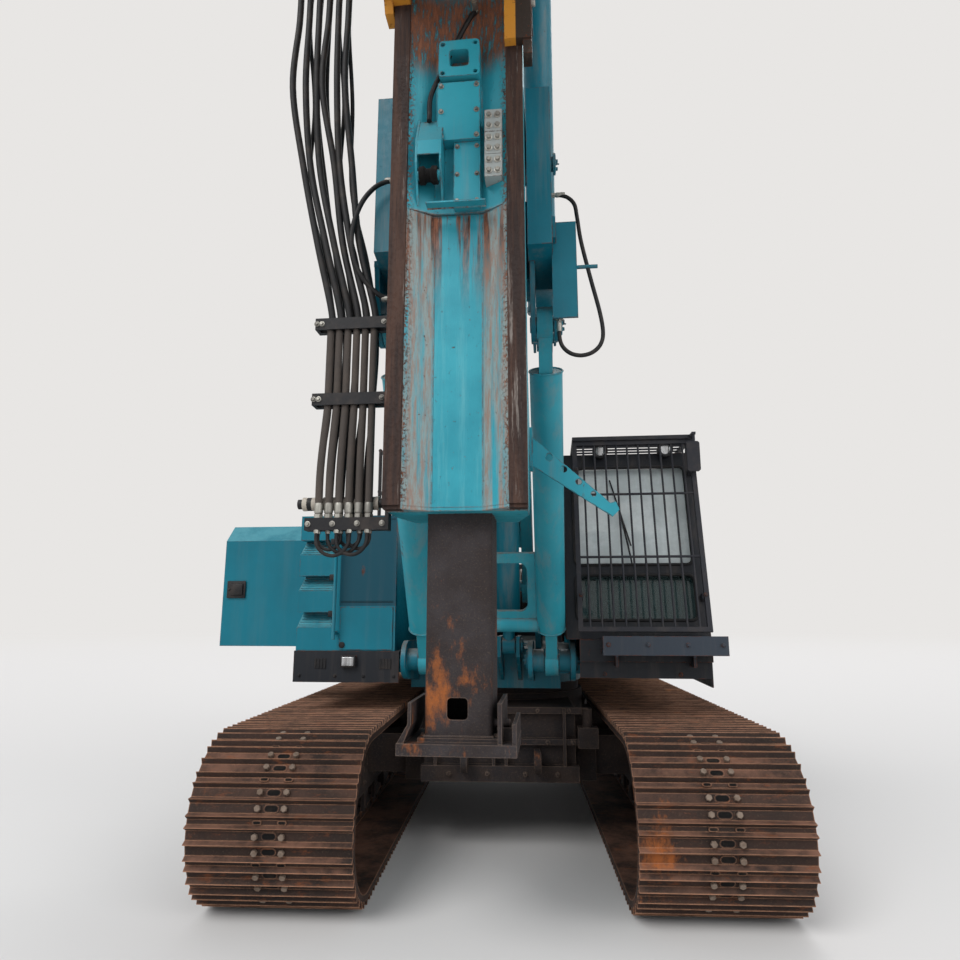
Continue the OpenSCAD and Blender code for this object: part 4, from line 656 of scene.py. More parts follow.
def track_details(side, label, body):
    heads, rims, slot_shade, pins, caps = blanks(5)
    for i in range(SHOE_COUNT):
        for c in ROW_SHARES:
            for x in (-BOLT_X, BOLT_X):
                place, normal, heading = on_track(side, x, (i + c) * PITCH)
                bolt(heads, place, normal, 0.034, False, 0.003)
            spot = on_track(side, 0, (i + c) * PITCH)
            # Raised rims, with near-black plates inside them that stand in for the slots' openings: painted
            # shade.
            plate_on(rims, spot, 0.092, 0.046, 0.003)
            plate_on(slot_shade, spot, 0.076, 0.030, 0.0045)
        for x in (-NOTCH_X, NOTCH_X):
            spot = on_track(side, x, i * PITCH)
            # Notches are drawn the same way, with their openings as near-black plates: painted shade.
            plate_on(rims, spot, 0.058, 0.024, 0.010)
            plate_on(slot_shade, spot, 0.040, 0.014, 0.012)
        # Link pins' ends beside the rows of links
        for e in SIDES:
            place, normal, heading = on_track(side, e * 0.115, (i + 0.02) * PITCH, -0.088)
            lathe(pins, place, PARK_TURN @ Vector((e, 0, 0)), LINK_PIN_END, 12)
    # Hubs with their bolts
    for e in SIDES:
        outward = PARK_TURN @ Vector((e, 0, 0))
        for y, count, radius in ((-AXLE_Y, 6, 0.105), (AXLE_Y, 12, 0.125)):
            x = 0.290 if y > 0 and e != side else 0.185
            centre = PARK @ Vector((side * TRACK_X + e * x, y, TRACK_R))
            lathe(caps, centre, outward, [(-0.004, 0.085), (0.016, 0.085), (0.026, 0.070), (0.026, 0.030),
                                          (0.034, 0.026), (0.034, 0)], 28)
            ring_of_bolts(caps, centre, outward, radius, count, 0.026)
        # Access plates on the frame's side, with bolts
        for y in (-0.95, 0.95):
            m = Matrix.Translation(PARK @ Vector((side * TRACK_X + e * 0.21, y, TRACK_R))) @ PARK
            slab(caps, span(-e * 0.004, e * 0.006), (-0.22, 0.22), (-0.09, 0.06), 0.003, 1, m)
            for dy, dz in product((-0.19, 0.19), (-0.06, 0.03)):
                bolt(caps, m @ Vector((e * 0.006, dy, dz)), outward, 0.022)
    piece(f"shoe_bolts_{label}", body, "track_bolt", heads, 30)
    piece(f"shoe_rims_{label}", body, "track", rims)
    piece(f"shoe_slots_{label}", body, "dark", slot_shade)
    piece(f"link_pins_{label}", body, "track", pins)
    piece(f"wheel_caps_{label}", body, "frame", caps)


track_details(-1, "left", "track_left")
track_details(1, "right", "track_right")

# Hoses, pipes and their fittings on the mast

HOSE_Y = -3.32
HOSE_TOP = 5.9
HOSE_LOW = 2.33
LOOP_TOP = 2.26
CLAMPS = (2.98, 3.44)
HOSE_X = [-0.505 - 0.052 * i for i in range(6)]
HOSE_R = 0.0205
SLEEVE_R = 0.0212
THIN_R = 0.013
SUNK = 0.002
# Loops under the lower block: the two hoses each one joins, its lowest height and how far it stands back
LOOPS = ((0, 3, 2.125, 0.0), (1, 4, 2.135, 0.024), (2, 5, 2.12, 0.0), (0, 2, 2.16, 0.028),
         (3, 5, 2.155, 0.026), (1, 3, 2.175, 0.052))
THIN_Y = -3.245
PIPE_X, PIPE_Y, PIPE_Z = -0.425, (-3.22, -3.17, -3.12), (6.05, 19.3)
FLANGE_Z = (11.96, 12.0403)


def free_hose(name, body, points, radius):
    """Hose held at its two ends only, which sags or bows between them."""
    bm = bmesh.new()
    tube(bm, points, radius, 12)
    obj = piece(name, body, "rubber", bm)


def mast_hoses():
    rubber, sleeves, nuts, thin, pipes, brackets, rollers = blanks(7)
    for i, x in enumerate(HOSE_X):
        fan = 0.026 * i
        top = x - 0.235 - fan / 2
        low = x - fan / 5
        wave = 0.018 * math.sin(2.3 * i)
        tube(rubber, [
            (top, HOSE_Y, HOSE_TOP + SUNK), (top, HOSE_Y, 5.6), (top + wave, HOSE_Y - 0.012, 5.1),
            (x - 0.178 - fan / 2 - wave, HOSE_Y + 0.012, 4.55), (x - 0.112, HOSE_Y - wave * 0.6, 4.02),
            (x, HOSE_Y, CLAMPS[1] + 0.12), (x, HOSE_Y, CLAMPS[1] - 0.02)], HOSE_R, 14)
        tube(sleeves, [
            (x, HOSE_Y, CLAMPS[1] + 0.06), (x, HOSE_Y, CLAMPS[1]), (x, HOSE_Y, CLAMPS[0] + 0.10),
            (x, HOSE_Y, CLAMPS[0]), (low, HOSE_Y, 2.62), (low, HOSE_Y, HOSE_LOW - SUNK)], SLEEVE_R, 14)
        fitting(nuts, (top, HOSE_Y, HOSE_TOP), DOWN, HOSE_R)
        fitting(nuts, (low, HOSE_Y, HOSE_LOW), UP, HOSE_R)
    hoses = piece("mast_hose_bundle", "mast", "rubber", rubber)
    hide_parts("mast_hoses")
    piece("mast_hose_sleeves", "mast", "sleeve", sleeves)
    # Thinner hoses strapped behind the clamps
    for i, x in enumerate((-0.52, -0.585, -0.65, -0.715, -0.78)):
        wave = 0.03 * math.sin(1.7 * i + 0.5)
        tube(thin, [
            (x - 0.21, -3.302, HOSE_TOP + SUNK), (x - 0.22, -3.30, 5.55), (x - 0.20 + wave, -3.27, 5.0),
            (x - 0.16 - wave, -3.25, 4.4), (x - 0.06, THIN_Y, 3.9), (x + 0.012, THIN_Y, CLAMPS[1]),
            (x, THIN_Y, CLAMPS[0]), (x - 0.02, -3.26, 2.7), (x - 0.02, -3.298, HOSE_LOW - SUNK)], THIN_R, 10)
        for z, shift in zip(CLAMPS, (0, 0.012)):
            lathe(nuts, (x + shift, THIN_Y, z + 0.02), UP, [(0, 0.0175), (0.03, 0.0175)], 12)
    # Hose that bows out beside the mast
    free_hose("mast_bow_hose", "mast", [
        (-0.383, -3.30, 4.42), (-0.44, -3.302, 4.418), (-0.53, -3.32, 4.365), (-0.605, -3.345, 4.24),
        (-0.648, -3.36, 4.06), (-0.636, -3.36, 3.89), (-0.58, -3.345, 3.76), (-0.50, -3.32, 3.672),
        (-0.44, -3.302, 3.645), (-0.383, -3.30, 3.64)], 0.015)
    for z in (4.42, 3.64):
        fitting(nuts, (-0.385, -3.30, z), LEFT, 0.016)
    # Hose in the mast's groove, down to the wedge bracket
    tube(thin, [(0.10, -3.418, 5.46), (0.075, -3.45, 5.40), (0.0, -3.475, 5.22), (-0.09, -3.475, 5.02),
                (-0.16, -3.48, 4.84), (-0.165, -3.49, 4.70), (-0.165, -3.50, 4.655)], 0.015, 12)
    fitting(nuts, (0.10, -3.415, 5.46), FRONT, 0.015)
    # Hoses that hang in loops under the lower junction block
    ends = [x - 0.0052 * i for i, x in enumerate(HOSE_X)]
    for k, (i, j, drop, depth) in enumerate(LOOPS):
        y = -3.343 + depth
        a, b = ends[i] + 0.008 * k % 0.017, ends[j]
        mid = (a + b) / 2
        r = abs(b - a) / 2
        curve = [(mid + r * math.cos(t), y + 0.004 * math.sin(3 * t), drop + r + r * math.sin(t))
                 for t in [-math.pi * n / 10 for n in range(11)]]
        hanging = [c for c in curve if c[2] < LOOP_TOP - 0.004]
        tube(thin, [(a, y, LOOP_TOP + SUNK)] + hanging + [(b, y, LOOP_TOP + SUNK)], 0.0105, 10, 4)
        for x in (a, b):
            lathe(nuts, (x, y, LOOP_TOP), DOWN, [(-0.003, 0.015), (0.016, 0.015), (0.018, 0.012)], 6)
    piece("mast_hoses_thin", "mast", "rubber", thin)
    # Steel pipes up the mast's side, in brackets
    for y in PIPE_Y:
        tube(pipes, [(PIPE_X, y, z) for z in PIPE_Z], 0.012, 12, 1)
        fitting(nuts, (PIPE_X, y, 5.982), UP, 0.014)
        fitting(nuts, (PIPE_X, y, 19.36), DOWN, 0.014)
    for z in [6.5 + 1.55 * k for k in range(9)]:
        slab(brackets, (-0.446, -0.384), (-3.25, -3.09), (z, z + 0.035), 0.004)
        bolts(brackets, -0.446, (-3.195, -3.145), z + 0.018, LEFT, 0.016)
    piece("mast_pipes", "mast", "chrome", pipes)
    piece("mast_pipe_brackets", "mast", "charcoal", brackets)
    # Pale roller sleeves over the bar, bolts of the clamps and blocks
    for x in (-0.9, -0.78, -0.66, -0.54):
        lathe(rollers, (x - 0.002, HOSE_Y + 0.06, 2.42), RIGHT, [
            (0, 0.030), (0.002, 0.0395), (0.012, 0.0395), (0.042, 0.037), (0.072, 0.0395), (0.082, 0.0395),
            (0.084, 0.030)], 24)
    piece("hose_rollers", "mast", "roller", rollers)
    for z in CLAMPS:
        bolts(nuts, (-0.84, -0.81, -0.44, -0.40), HOSE_Y - 0.033, z + 0.035, FRONT, 0.02)
    for x in (-0.84, -0.70, -0.56, -0.42):
        bolt(nuts, (x, HOSE_Y - 0.032, 2.295), FRONT, 0.02)
        bolt(nuts, (x - 0.12, HOSE_Y - 0.032, 5.94), FRONT, 0.02)
    piece("hose_fittings", "mast", "bolt", nuts)


mast_hoses()


def mast_details():
    """Bolts of the clamp blocks, covers and flange, guide roller, weld beads and stops."""
    heads, beads, roller, stops = blanks(4)
    for z0 in [4.245 + 0.144 * i for i in range(3)]:
        bolts(heads, (0.19, 0.24), MAST_FRONT - 0.035, (z0 + 0.036, z0 + 0.104), FRONT, 0.025)
    bolts(heads, (-0.095, 0.115), MAST_FRONT, (4.545, 4.71, 4.88), FRONT, 0.02)
    bolts(heads, (0.0, 0.115), MAST_FRONT + 0.025, (4.14, 4.31, 4.49), FRONT, 0.018)
    for x in (-0.395, 0.395):
        for y in [-3.33 + 0.078 * k for k in range(6)]:
            bolt(heads, (x, y, FLANGE_Z[1]), UP, 0.013, False)
            bolt(heads, (x, y, FLANGE_Z[0]), DOWN, 0.013, False)
    piece("mast_bolts", "mast", "bolt", heads)
    lathe(roller, (-0.215, MAST_FRONT - 0.01, 4.29), RIGHT, [
        (0, 0.03), (0.002, 0.05), (0.03, 0.052), (0.042, 0.038), (0.066, 0.038), (0.078, 0.052),
        (0.106, 0.05), (0.108, 0.03)], 28)
    piece("mast_guide_roller", "mast", "dark", roller)
    # Beads along the ledge, the covers, the foot plate and between the panels
    for e in SIDES:
        for x, y, size in ((RAIL_X, MAST_FRONT + 0.001, 0.005), (PANEL_X, MAST_FRONT + RECESS, 0.006)):
            weld(beads, (e * x, y, MAST_Z0 + 0.02), (e * x, y, LEDGE_Z - 0.02), size)
        foot_z = MAST_Z0 - 0.004
        weld(beads, (e * 0.378, MAST_FRONT + 0.02, foot_z), (e * 0.30, MAST_FRONT + 0.55, foot_z), 0.007)
    y, z = MAST_FRONT + 0.012, LEDGE_Z - 0.008
    weld(beads, (-0.17, y, z), (0.17, y, z), 0.007)
    for x in (-0.118, 0.137):
        weld(beads, (x, MAST_FRONT + 0.082, 4.53), (x, MAST_FRONT + 0.082, 4.90), 0.006)
    # Brackets of the crowd winch and of the tilt cylinders' lugs
    for x in (-0.31, -0.27, 0.27, 0.31):
        weld(beads, (x, -2.898, 6.81), (x, -2.898, 7.59), 0.007)
    piece("mast_welds", "mast", "mast", beads)
    # Stops with bolts at the rails' upper ends
    for x in (-0.3375, 0.3375):
        slab(stops, about(x, 0.045), (MAST_FRONT - 0.045, MAST_FRONT - 0.011), (19.02, 19.16), 0.006)
        bolts(stops, x, MAST_FRONT - 0.045, (19.05, 19.13), FRONT, 0.03)
    piece("rail_stops", "mast", "steel", stops)


mast_details()


def bracket_loop():
    """Hose that hangs in a loop on the right side of the mast's bracket."""
    nuts = bmesh.new()
    free_hose("bracket_hose", "mast_bracket", [
        (0.56, -3.10, 4.385), (0.59, -3.10, 4.384), (0.646, -3.102, 4.362), (0.686, -3.105, 4.31),
        (0.70, -3.11, 4.22), (0.72, -3.115, 4.05), (0.77, -3.12, 3.80), (0.818, -3.12, 3.58),
        (0.833, -3.12, 3.45), (0.816, -3.12, 3.376), (0.769, -3.12, 3.329), (0.705, -3.118, 3.312),
        (0.641, -3.112, 3.329), (0.594, -3.105, 3.376), (0.576, -3.10, 3.44), (0.575, -3.10, 3.53)], 0.0125)
    fitting(nuts, (0.545, -3.10, 4.385), RIGHT, 0.013)
    fitting(nuts, (0.575, -3.10, 3.56), DOWN, 0.013)
    slab(nuts, (0.55, 0.60), (-3.12, -3.08), (3.55, 3.60), 0.005)
    piece("bracket_hose_ends", "mast_bracket", "bolt", nuts)


bracket_loop()

# Pins of the linkage: end plates, keepers and grease nipples

PIN_R = 0.0495
LINK_LO, LINK_HI = (-1.5, 1.455), (-2.9, 3.61)
BOOM_LO, BOOM_HI = (-0.75, 2.055), (-2.15, 4.21)
LUFF_LO, LUFF_HI = (-1.33, 1.56), [lo + 0.62 * (hi - lo) for lo, hi in zip(BOOM_LO, BOOM_HI)]
TILT_LO, TILT_HI = (-1.85, 3.95), (-2.78, 9.0)
PIVOT = (-2.75, 4.85)
SHEAVE_MAIN, SHEAVE_AUX = (-4.07, 20.4), (-2.45, 20.3)
# Per body: the pin's Y and Z, the cap's X, the pin's radius, and 1 for a cap that faces outward
PIN_ROWS = {
    "boom": ((BOOM_LO, 0.41, PIN_R, 1), (BOOM_HI, 0.41, PIN_R, 1)),
    "link_rods": ((LINK_LO, 0.675, PIN_R, 1), (LINK_LO, 0.305, PIN_R, -1), (LINK_HI, 0.585, PIN_R, 1)),
    "luff_barrels": ((LUFF_LO, 0.25, 0.035, 1),),
    "mast": ((SHEAVE_MAIN, 0.27, 0.0395, 1), (SHEAVE_AUX, 0.27, 0.0395, 1)),
    "mast_barrels": ((TILT_LO, 0.56, 0.04, 1),),
    "mast_bracket": ((PIVOT, 0.57, PIN_R, 1),),
    "mast_rods": ((TILT_HI, 0.53, 0.045, 1),),
}


def pin_cap(bm, x, yz, side, radius):
    """End plate on a pin along X, at its outer face."""
    place = Vector((x, *yz))
    out = Vector((side, 0, 0))
    face = place + out * 0.012
    wide, rim = radius + 0.022, radius + 0.017
    lathe(bm, place, out, [(-0.006, wide), (0.010, wide), (0.014, rim), (0.014, 0)], 28)
    ring_of_bolts(bm, face, out, radius * 0.62, 3, radius * 0.42, 0.5)
    lathe(bm, face, out, [(0, 0.008), (0.010, 0.008), (0.012, 0.004), (0.022, 0.006), (0.026, 0.002)], 8)


for pin_body, rows in PIN_ROWS.items():
    pin_caps = bmesh.new()
    for pin_yz, cap_x, pin_radius, faces_out in rows:
        for pin_side in SIDES:
            pin_cap(pin_caps, pin_side * cap_x, pin_yz, pin_side * faces_out, pin_radius)
    piece(f"pin_caps_{pin_body}", pin_body, "teal_dark" if pin_body != "mast_rods" else "bolt", pin_caps)

# Cab: window seals, wiper, lamps, mirror glass, door handle, seat and controls

CAB_X0, CAB_X1 = 0.605, 1.66
CAB_Y0, CAB_Y1 = -1.7, 0.12
CAB_Z0, CAB_Z1 = 1.62, 3.1
CAB_LEAN = math.radians(11.5)
LEAN = Matrix.Translation((0, CAB_Y0, CAB_Z0)) @ Matrix.Rotation(-CAB_LEAN, 4, "X")
LEAN_OUT = LEAN.to_3x3() @ Vector(FRONT)
LAMP_X, LAMP_Z = (0.915, 1.435), 3.115
WIPER_Z = 2.135
WIPER_END = (1.06, 2.62)


def leaning(x, out, z):
    """Place on the leaning front at the height z, out being the distance inward."""
    return LEAN @ Vector((x, out, (z - CAB_Z0) / math.cos(CAB_LEAN)))


def cab_front(z):
    return CAB_Y0 + (z - CAB_Z0) * math.tan(CAB_LEAN)


ROOF_Y = cab_front(3.19) - 0.15
SLAT_STEP = (-0.5 - ROOF_Y) / 10


def seal(bm, corners, radius=0.011, corner=0.035):
    """Rubber profile round a window, through its corners with small arcs."""
    points = []
    count = len(corners)
    for i in range(count):
        c = Vector(corners[i])
        before = (Vector(corners[i - 1]) - c).normalized()
        after = (Vector(corners[(i + 1) % count]) - c).normalized()
        a, b = c + before * corner, c + after * corner
        points += [a.lerp(c, t).lerp(c.lerp(b, t), t) for t in (0, 0.25, 0.5, 0.75, 1)]
    tube(bm, points + points[:2], radius, 8, 1, False)


def cab_details():
    seals, black, lens, steel = blanks(4)
    for z0, z1 in ((2.18, 2.98), (1.76, 2.10)):
        seal(seals, [leaning(x, -0.001, z) for x, z in rectangle(0.685, 1.58, z0, z1)], 0.012, 0.05)
    seal(seals, [(CAB_X0, cab_front(1.9) + 0.11, 1.9), (CAB_X0, -0.85, 1.9), (CAB_X0, -0.85, 2.98),
                 (CAB_X0, cab_front(2.98) + 0.11, 2.98)])
    for x, y0 in ((CAB_X0, -0.78), (CAB_X1, -0.54)):
        seal(seals, [(x, y, z) for y, z in rectangle(y0, 0.0, 2.2, 2.98)], 0.011, 0.05)
    seal(seals, [(x, CAB_Y1, z) for x, z in rectangle(0.725, 1.54, 2.3, 2.95)], 0.011, 0.05)
    seal(seals, [(x, y, CAB_Z1) for x, y in rectangle(0.785, 1.48, -1.28, -0.7)], 0.011, 0.05)
    piece("cab_window_seals", "upper", "rubber", seals)
    # Wiper on the upper window, rain gutters above the side windows
    lathe(black, leaning(1.13, 0.03, WIPER_Z), LEAN_OUT, [(-0.03, 0.018), (0.012, 0.018), (0.018, 0.012)], 16)
    end_x, end_z = WIPER_END
    arm = ((1.13, 0.018, WIPER_Z), (1.12, 0.03, 2.24), (end_x, 0.048, end_z))
    tube(black, [leaning(*place) for place in arm], 0.007, 8, 4)
    blade = leaning(end_x, 0.053, end_z)
    tube(black, [blade + LEAN.to_3x3() @ Vector((0.25 * k, 0, -k)) for k in (0.28, 0, -0.28)], 0.006, 8, 2)
    for x in (CAB_X0 - 0.004, CAB_X1 + 0.004):
        tube(black, [(x, cab_front(3.04) + 0.06, 3.04), (x, -0.7, 3.045), (x, 0.06, 3.045)], 0.008, 8, 2)
    # Lamps: bezel and dished lens
    lamp_y = ROOF_Y + SLAT_STEP - 0.055
    for x in LAMP_X:
        place = (x, lamp_y, LAMP_Z)
        lathe(black, place, FRONT, [(-0.01, 0.063), (0.006, 0.063), (0.010, 0.058), (0.006, 0.052)], 28)
        lathe(lens, place, FRONT, [(0.001, 0.053), (0.004, 0.050), (0.009, 0.03), (0.011, 0)], 28)
        slab(black, about(x, 0.03), (lamp_y + 0.02, lamp_y + 0.05), (3.165, 3.185), 0.004)
    # Mirror glass, facing the driver, and the square lamp in the left skirt
    slab(lens, (1.585, 1.665), (ROOF_Y - 0.079, ROOF_Y - 0.075), (2.912, 3.128), 0.002)
    slab(lens, (-1.145, -1.05), (-1.608, -1.598), (1.406, 1.476), 0.004, 3)
    piece("cab_lenses", "upper", "lamp", lens)
    # Bolts of the front guard's brackets and of the ledge under it
    for x in (0.7175, 1.6225):
        for h in (1.9, 2.9):
            bolt(steel, LEAN @ Vector((x, -0.13, (h - CAB_Z0) / math.cos(CAB_LEAN) + 0.02)), LEAN_OUT, 0.02)
    bolts(steel, (0.90, 1.18, 1.46, 1.70), -1.87, 1.59, FRONT, 0.022)
    bolts(steel, (1.0 - 0.12, 1.55 - 0.12), -1.68, (1.37, 1.47), FRONT, 0.02)
    piece("cab_bolts", "upper", "charcoal", steel)
    # Grab handle at the corner
    tube(black, [(0.575, -1.28, 1.95), (0.555, -1.28, 1.99), (0.555, -1.20, 2.4), (0.555, -1.12, 2.78),
                 (0.58, -1.11, 2.82), (0.606, -1.11, 2.82)], 0.012, 10, 4)
    tube(black, [(0.555, -1.28, 1.99), (0.575, -1.28, 1.95), (0.606, -1.28, 1.93)], 0.012, 10, 4)
    piece("cab_trim", "upper", "black", black)


def door_details():
    trim = bmesh.new()
    z0, z1 = CAB_Z0 + 0.175, CAB_Z1 - 0.185
    seal(trim, [(CAB_X1, cab_front(z0) + 0.19, z0), (CAB_X1, -0.71, z0), (CAB_X1, -0.71, z1),
                (CAB_X1, cab_front(z1) + 0.19, z1)], 0.010, 0.04)
    # Pull handle with its lock
    y = cab_front(2.3) + 0.145
    tube(trim, [(CAB_X1, y, 2.22), (CAB_X1 + 0.03, y, 2.23), (CAB_X1 + 0.036, y + 0.004, 2.30),
                (CAB_X1 + 0.03, y + 0.02, 2.37), (CAB_X1, y + 0.022, 2.38)], 0.010, 10, 5)
    lathe(trim, (CAB_X1, y + 0.005, 2.17), RIGHT, [(-0.002, 0.018), (0.006, 0.018), (0.008, 0.013)], 16)
    piece("cab_door_trim", "cab_door", "rubber", trim)


CUSHION_STEPS = 22


def cushion(name, x, y, z, crown, puff):
    """Crowned cushion in the given limits, with sides drawn in between the corners and a sewn channel."""
    bm = bmesh.new()
    steps = CUSHION_STEPS
    size = [high - low for low, high in (x, y, z)]
    mid = Vector([(low + high) / 2 for low, high in (x, y, z)])
    thin = min(range(3), key=lambda k: size[k])
    u, v = [k for k in range(3) if k != thin]

    def key(i, j, side):
        return (i, j, 0 if i in (0, steps) or j in (0, steps) else side)

    grid = {}
    for side, i, j in product(SIDES, range(steps + 1), range(steps + 1)):
        if key(i, j, side) in grid:
            continue
        a, b = 2 * i / steps - 1, 2 * j / steps - 1
        fall = (1 - abs(a) ** 4) * (1 - abs(b) ** 4)
        point = [0.0, 0.0, 0.0]
        point[u] = a * size[u] / 2 * (1 - puff * (1 - b * b) * abs(a) ** 6)
        point[v] = b * size[v] / 2 * (1 - puff * (1 - a * a) * abs(b) ** 6)
        channel = 0.006 * math.exp(-((abs(a) - 0.55) / 0.05) ** 2)
        raised = crown * fall if side > 0 else 0
        height = size[thin] / 2 * (0.45 + 0.55 * fall ** 0.4) + raised - channel * fall
        point[thin] = key(i, j, side)[2] * height
        grid[key(i, j, side)] = bm.verts.new(mid + Vector(point))
    for side, i, j in product(SIDES, range(steps), range(steps)):
        quad = [grid[key(i + di, j + dj, side)] for di, dj in ((0, 0), (1, 0), (1, 1), (0, 1))]
        bm.faces.new(quad if side > 0 else quad[::-1])
    obj = piece(name, "upper", "seat", bm, 70)
    return obj


def seat_and_controls():
    pan = cushion("seat_cushion", (0.915, 1.385), (-0.90, -0.42), (1.905, 2.01), 0.02, 0.05)
    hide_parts("cab_seat")
    cushion("seat_back", (0.93, 1.37), (-0.465, -0.375), (2.02, 2.56), 0.0, 0.06)
    cushion("seat_headrest", (1.03, 1.27), (-0.46, -0.385), (2.585, 2.745), 0.0, 0.08)
    black, levers = blanks(2)
    # Sprung pedestal with bellows
    slab(black, (0.98, 1.32), (-0.84, -0.46), (1.681, 1.70), 0.006)
    bellows = [(0.02 + 0.02 * k, 0.165 if k % 2 else 0.145) for k in range(8)]
    lathe(black, (1.15, -0.65, 1.70), UP, [(0.0, 0.16)] + bellows + [(0.19, 0.155), (0.205, 0.155)], 24)
    for x in (1.09, 1.19):
        slab(black, (x, x + 0.02), (-0.43, -0.41), (2.54, 2.60), 0.003)
    for x0 in (0.78, 1.44):
        slab(black, (x0, x0 + 0.08), (-0.72, -0.48), (1.681, 2.05), 0.012)
        slab(black, (x0 - 0.005, x0 + 0.095), (-1.0, -0.45), (2.04, 2.10), 0.018, 3)
        # Joystick with its gaiter
        lathe(levers, (x0 + 0.045, -0.93, 2.098), UP, [
            (0, 0.034), (0.008, 0.034), (0.012, 0.026), (0.02, 0.030), (0.028, 0.020), (0.036, 0.024),
            (0.044, 0.012), (0.10, 0.010), (0.115, 0.018), (0.17, 0.021), (0.195, 0.016), (0.20, 0)], 18)
    # Pedals and monitor
    for x in (1.06, 1.20):
        slab(levers, (x, x + 0.07), (-1.30, -1.16), (1.70, 1.712), 0.004, 2)
        arm = ((-1.23, 1.71), (-1.27, 1.85), (-1.25, 2.02))
        tube(levers, [(x + 0.035, y, z) for y, z in arm], 0.009, 8, 4)
    slab(black, (1.40, 1.56), (-1.10, -1.07), (2.25, 2.37), 0.008, 3)
    tube(levers, [(1.50, -1.085, 2.09), (1.50, -1.085, 2.26)], 0.012, 10, 1)
    piece("seat_frame", "upper", "black", black)
    piece("cab_levers", "upper", "rubber", levers)


cab_details()
door_details()
seat_and_controls()

# Hoods and front box: panel gaps, latches, louvre lips, step liners, vents, left door

BODY_X0, BODY_X1 = -1.55, 1.66
DECK_Z, HOOD_Z = 1.52, 2.64
HINGE_X, BAY_Y0 = -1.568, -1.095
BOX_FRONT = (-1.5415, -1.538)
LOUVRE_ROWS = [1.922 + 0.06 * i for i in range(7)]
REAR_Y = 3.36
EXHAUST = (-0.9, 1.5)
EXHAUST_GUARD_R = 0.142
LOUVRE_TILT, RAIN_CAP_TILT, DOOR_OPEN = math.radians(35), math.radians(24), math.radians(90)
TAIL_LENS = [(0, 0.042), (0.012, 0.040), (0.018, 0.028), (0.02, 0)]


def latch(bm, place, normal):
    """Flush paddle latch in a dished plate."""
    m = facing(place, normal)
    slab(bm, (-0.045, 0.045), (-0.06, 0.06), (-0.002, 0.006), 0.003, 2, m)
    slab(bm, (-0.030, 0.030), (-0.035, 0.045), (0.004, 0.016), 0.005, 2, m)
    lathe(bm, m @ Vector((0, -0.046, 0.004)), normal, [(0, 0.009), (0.006, 0.009), (0.008, 0.006)], 12)


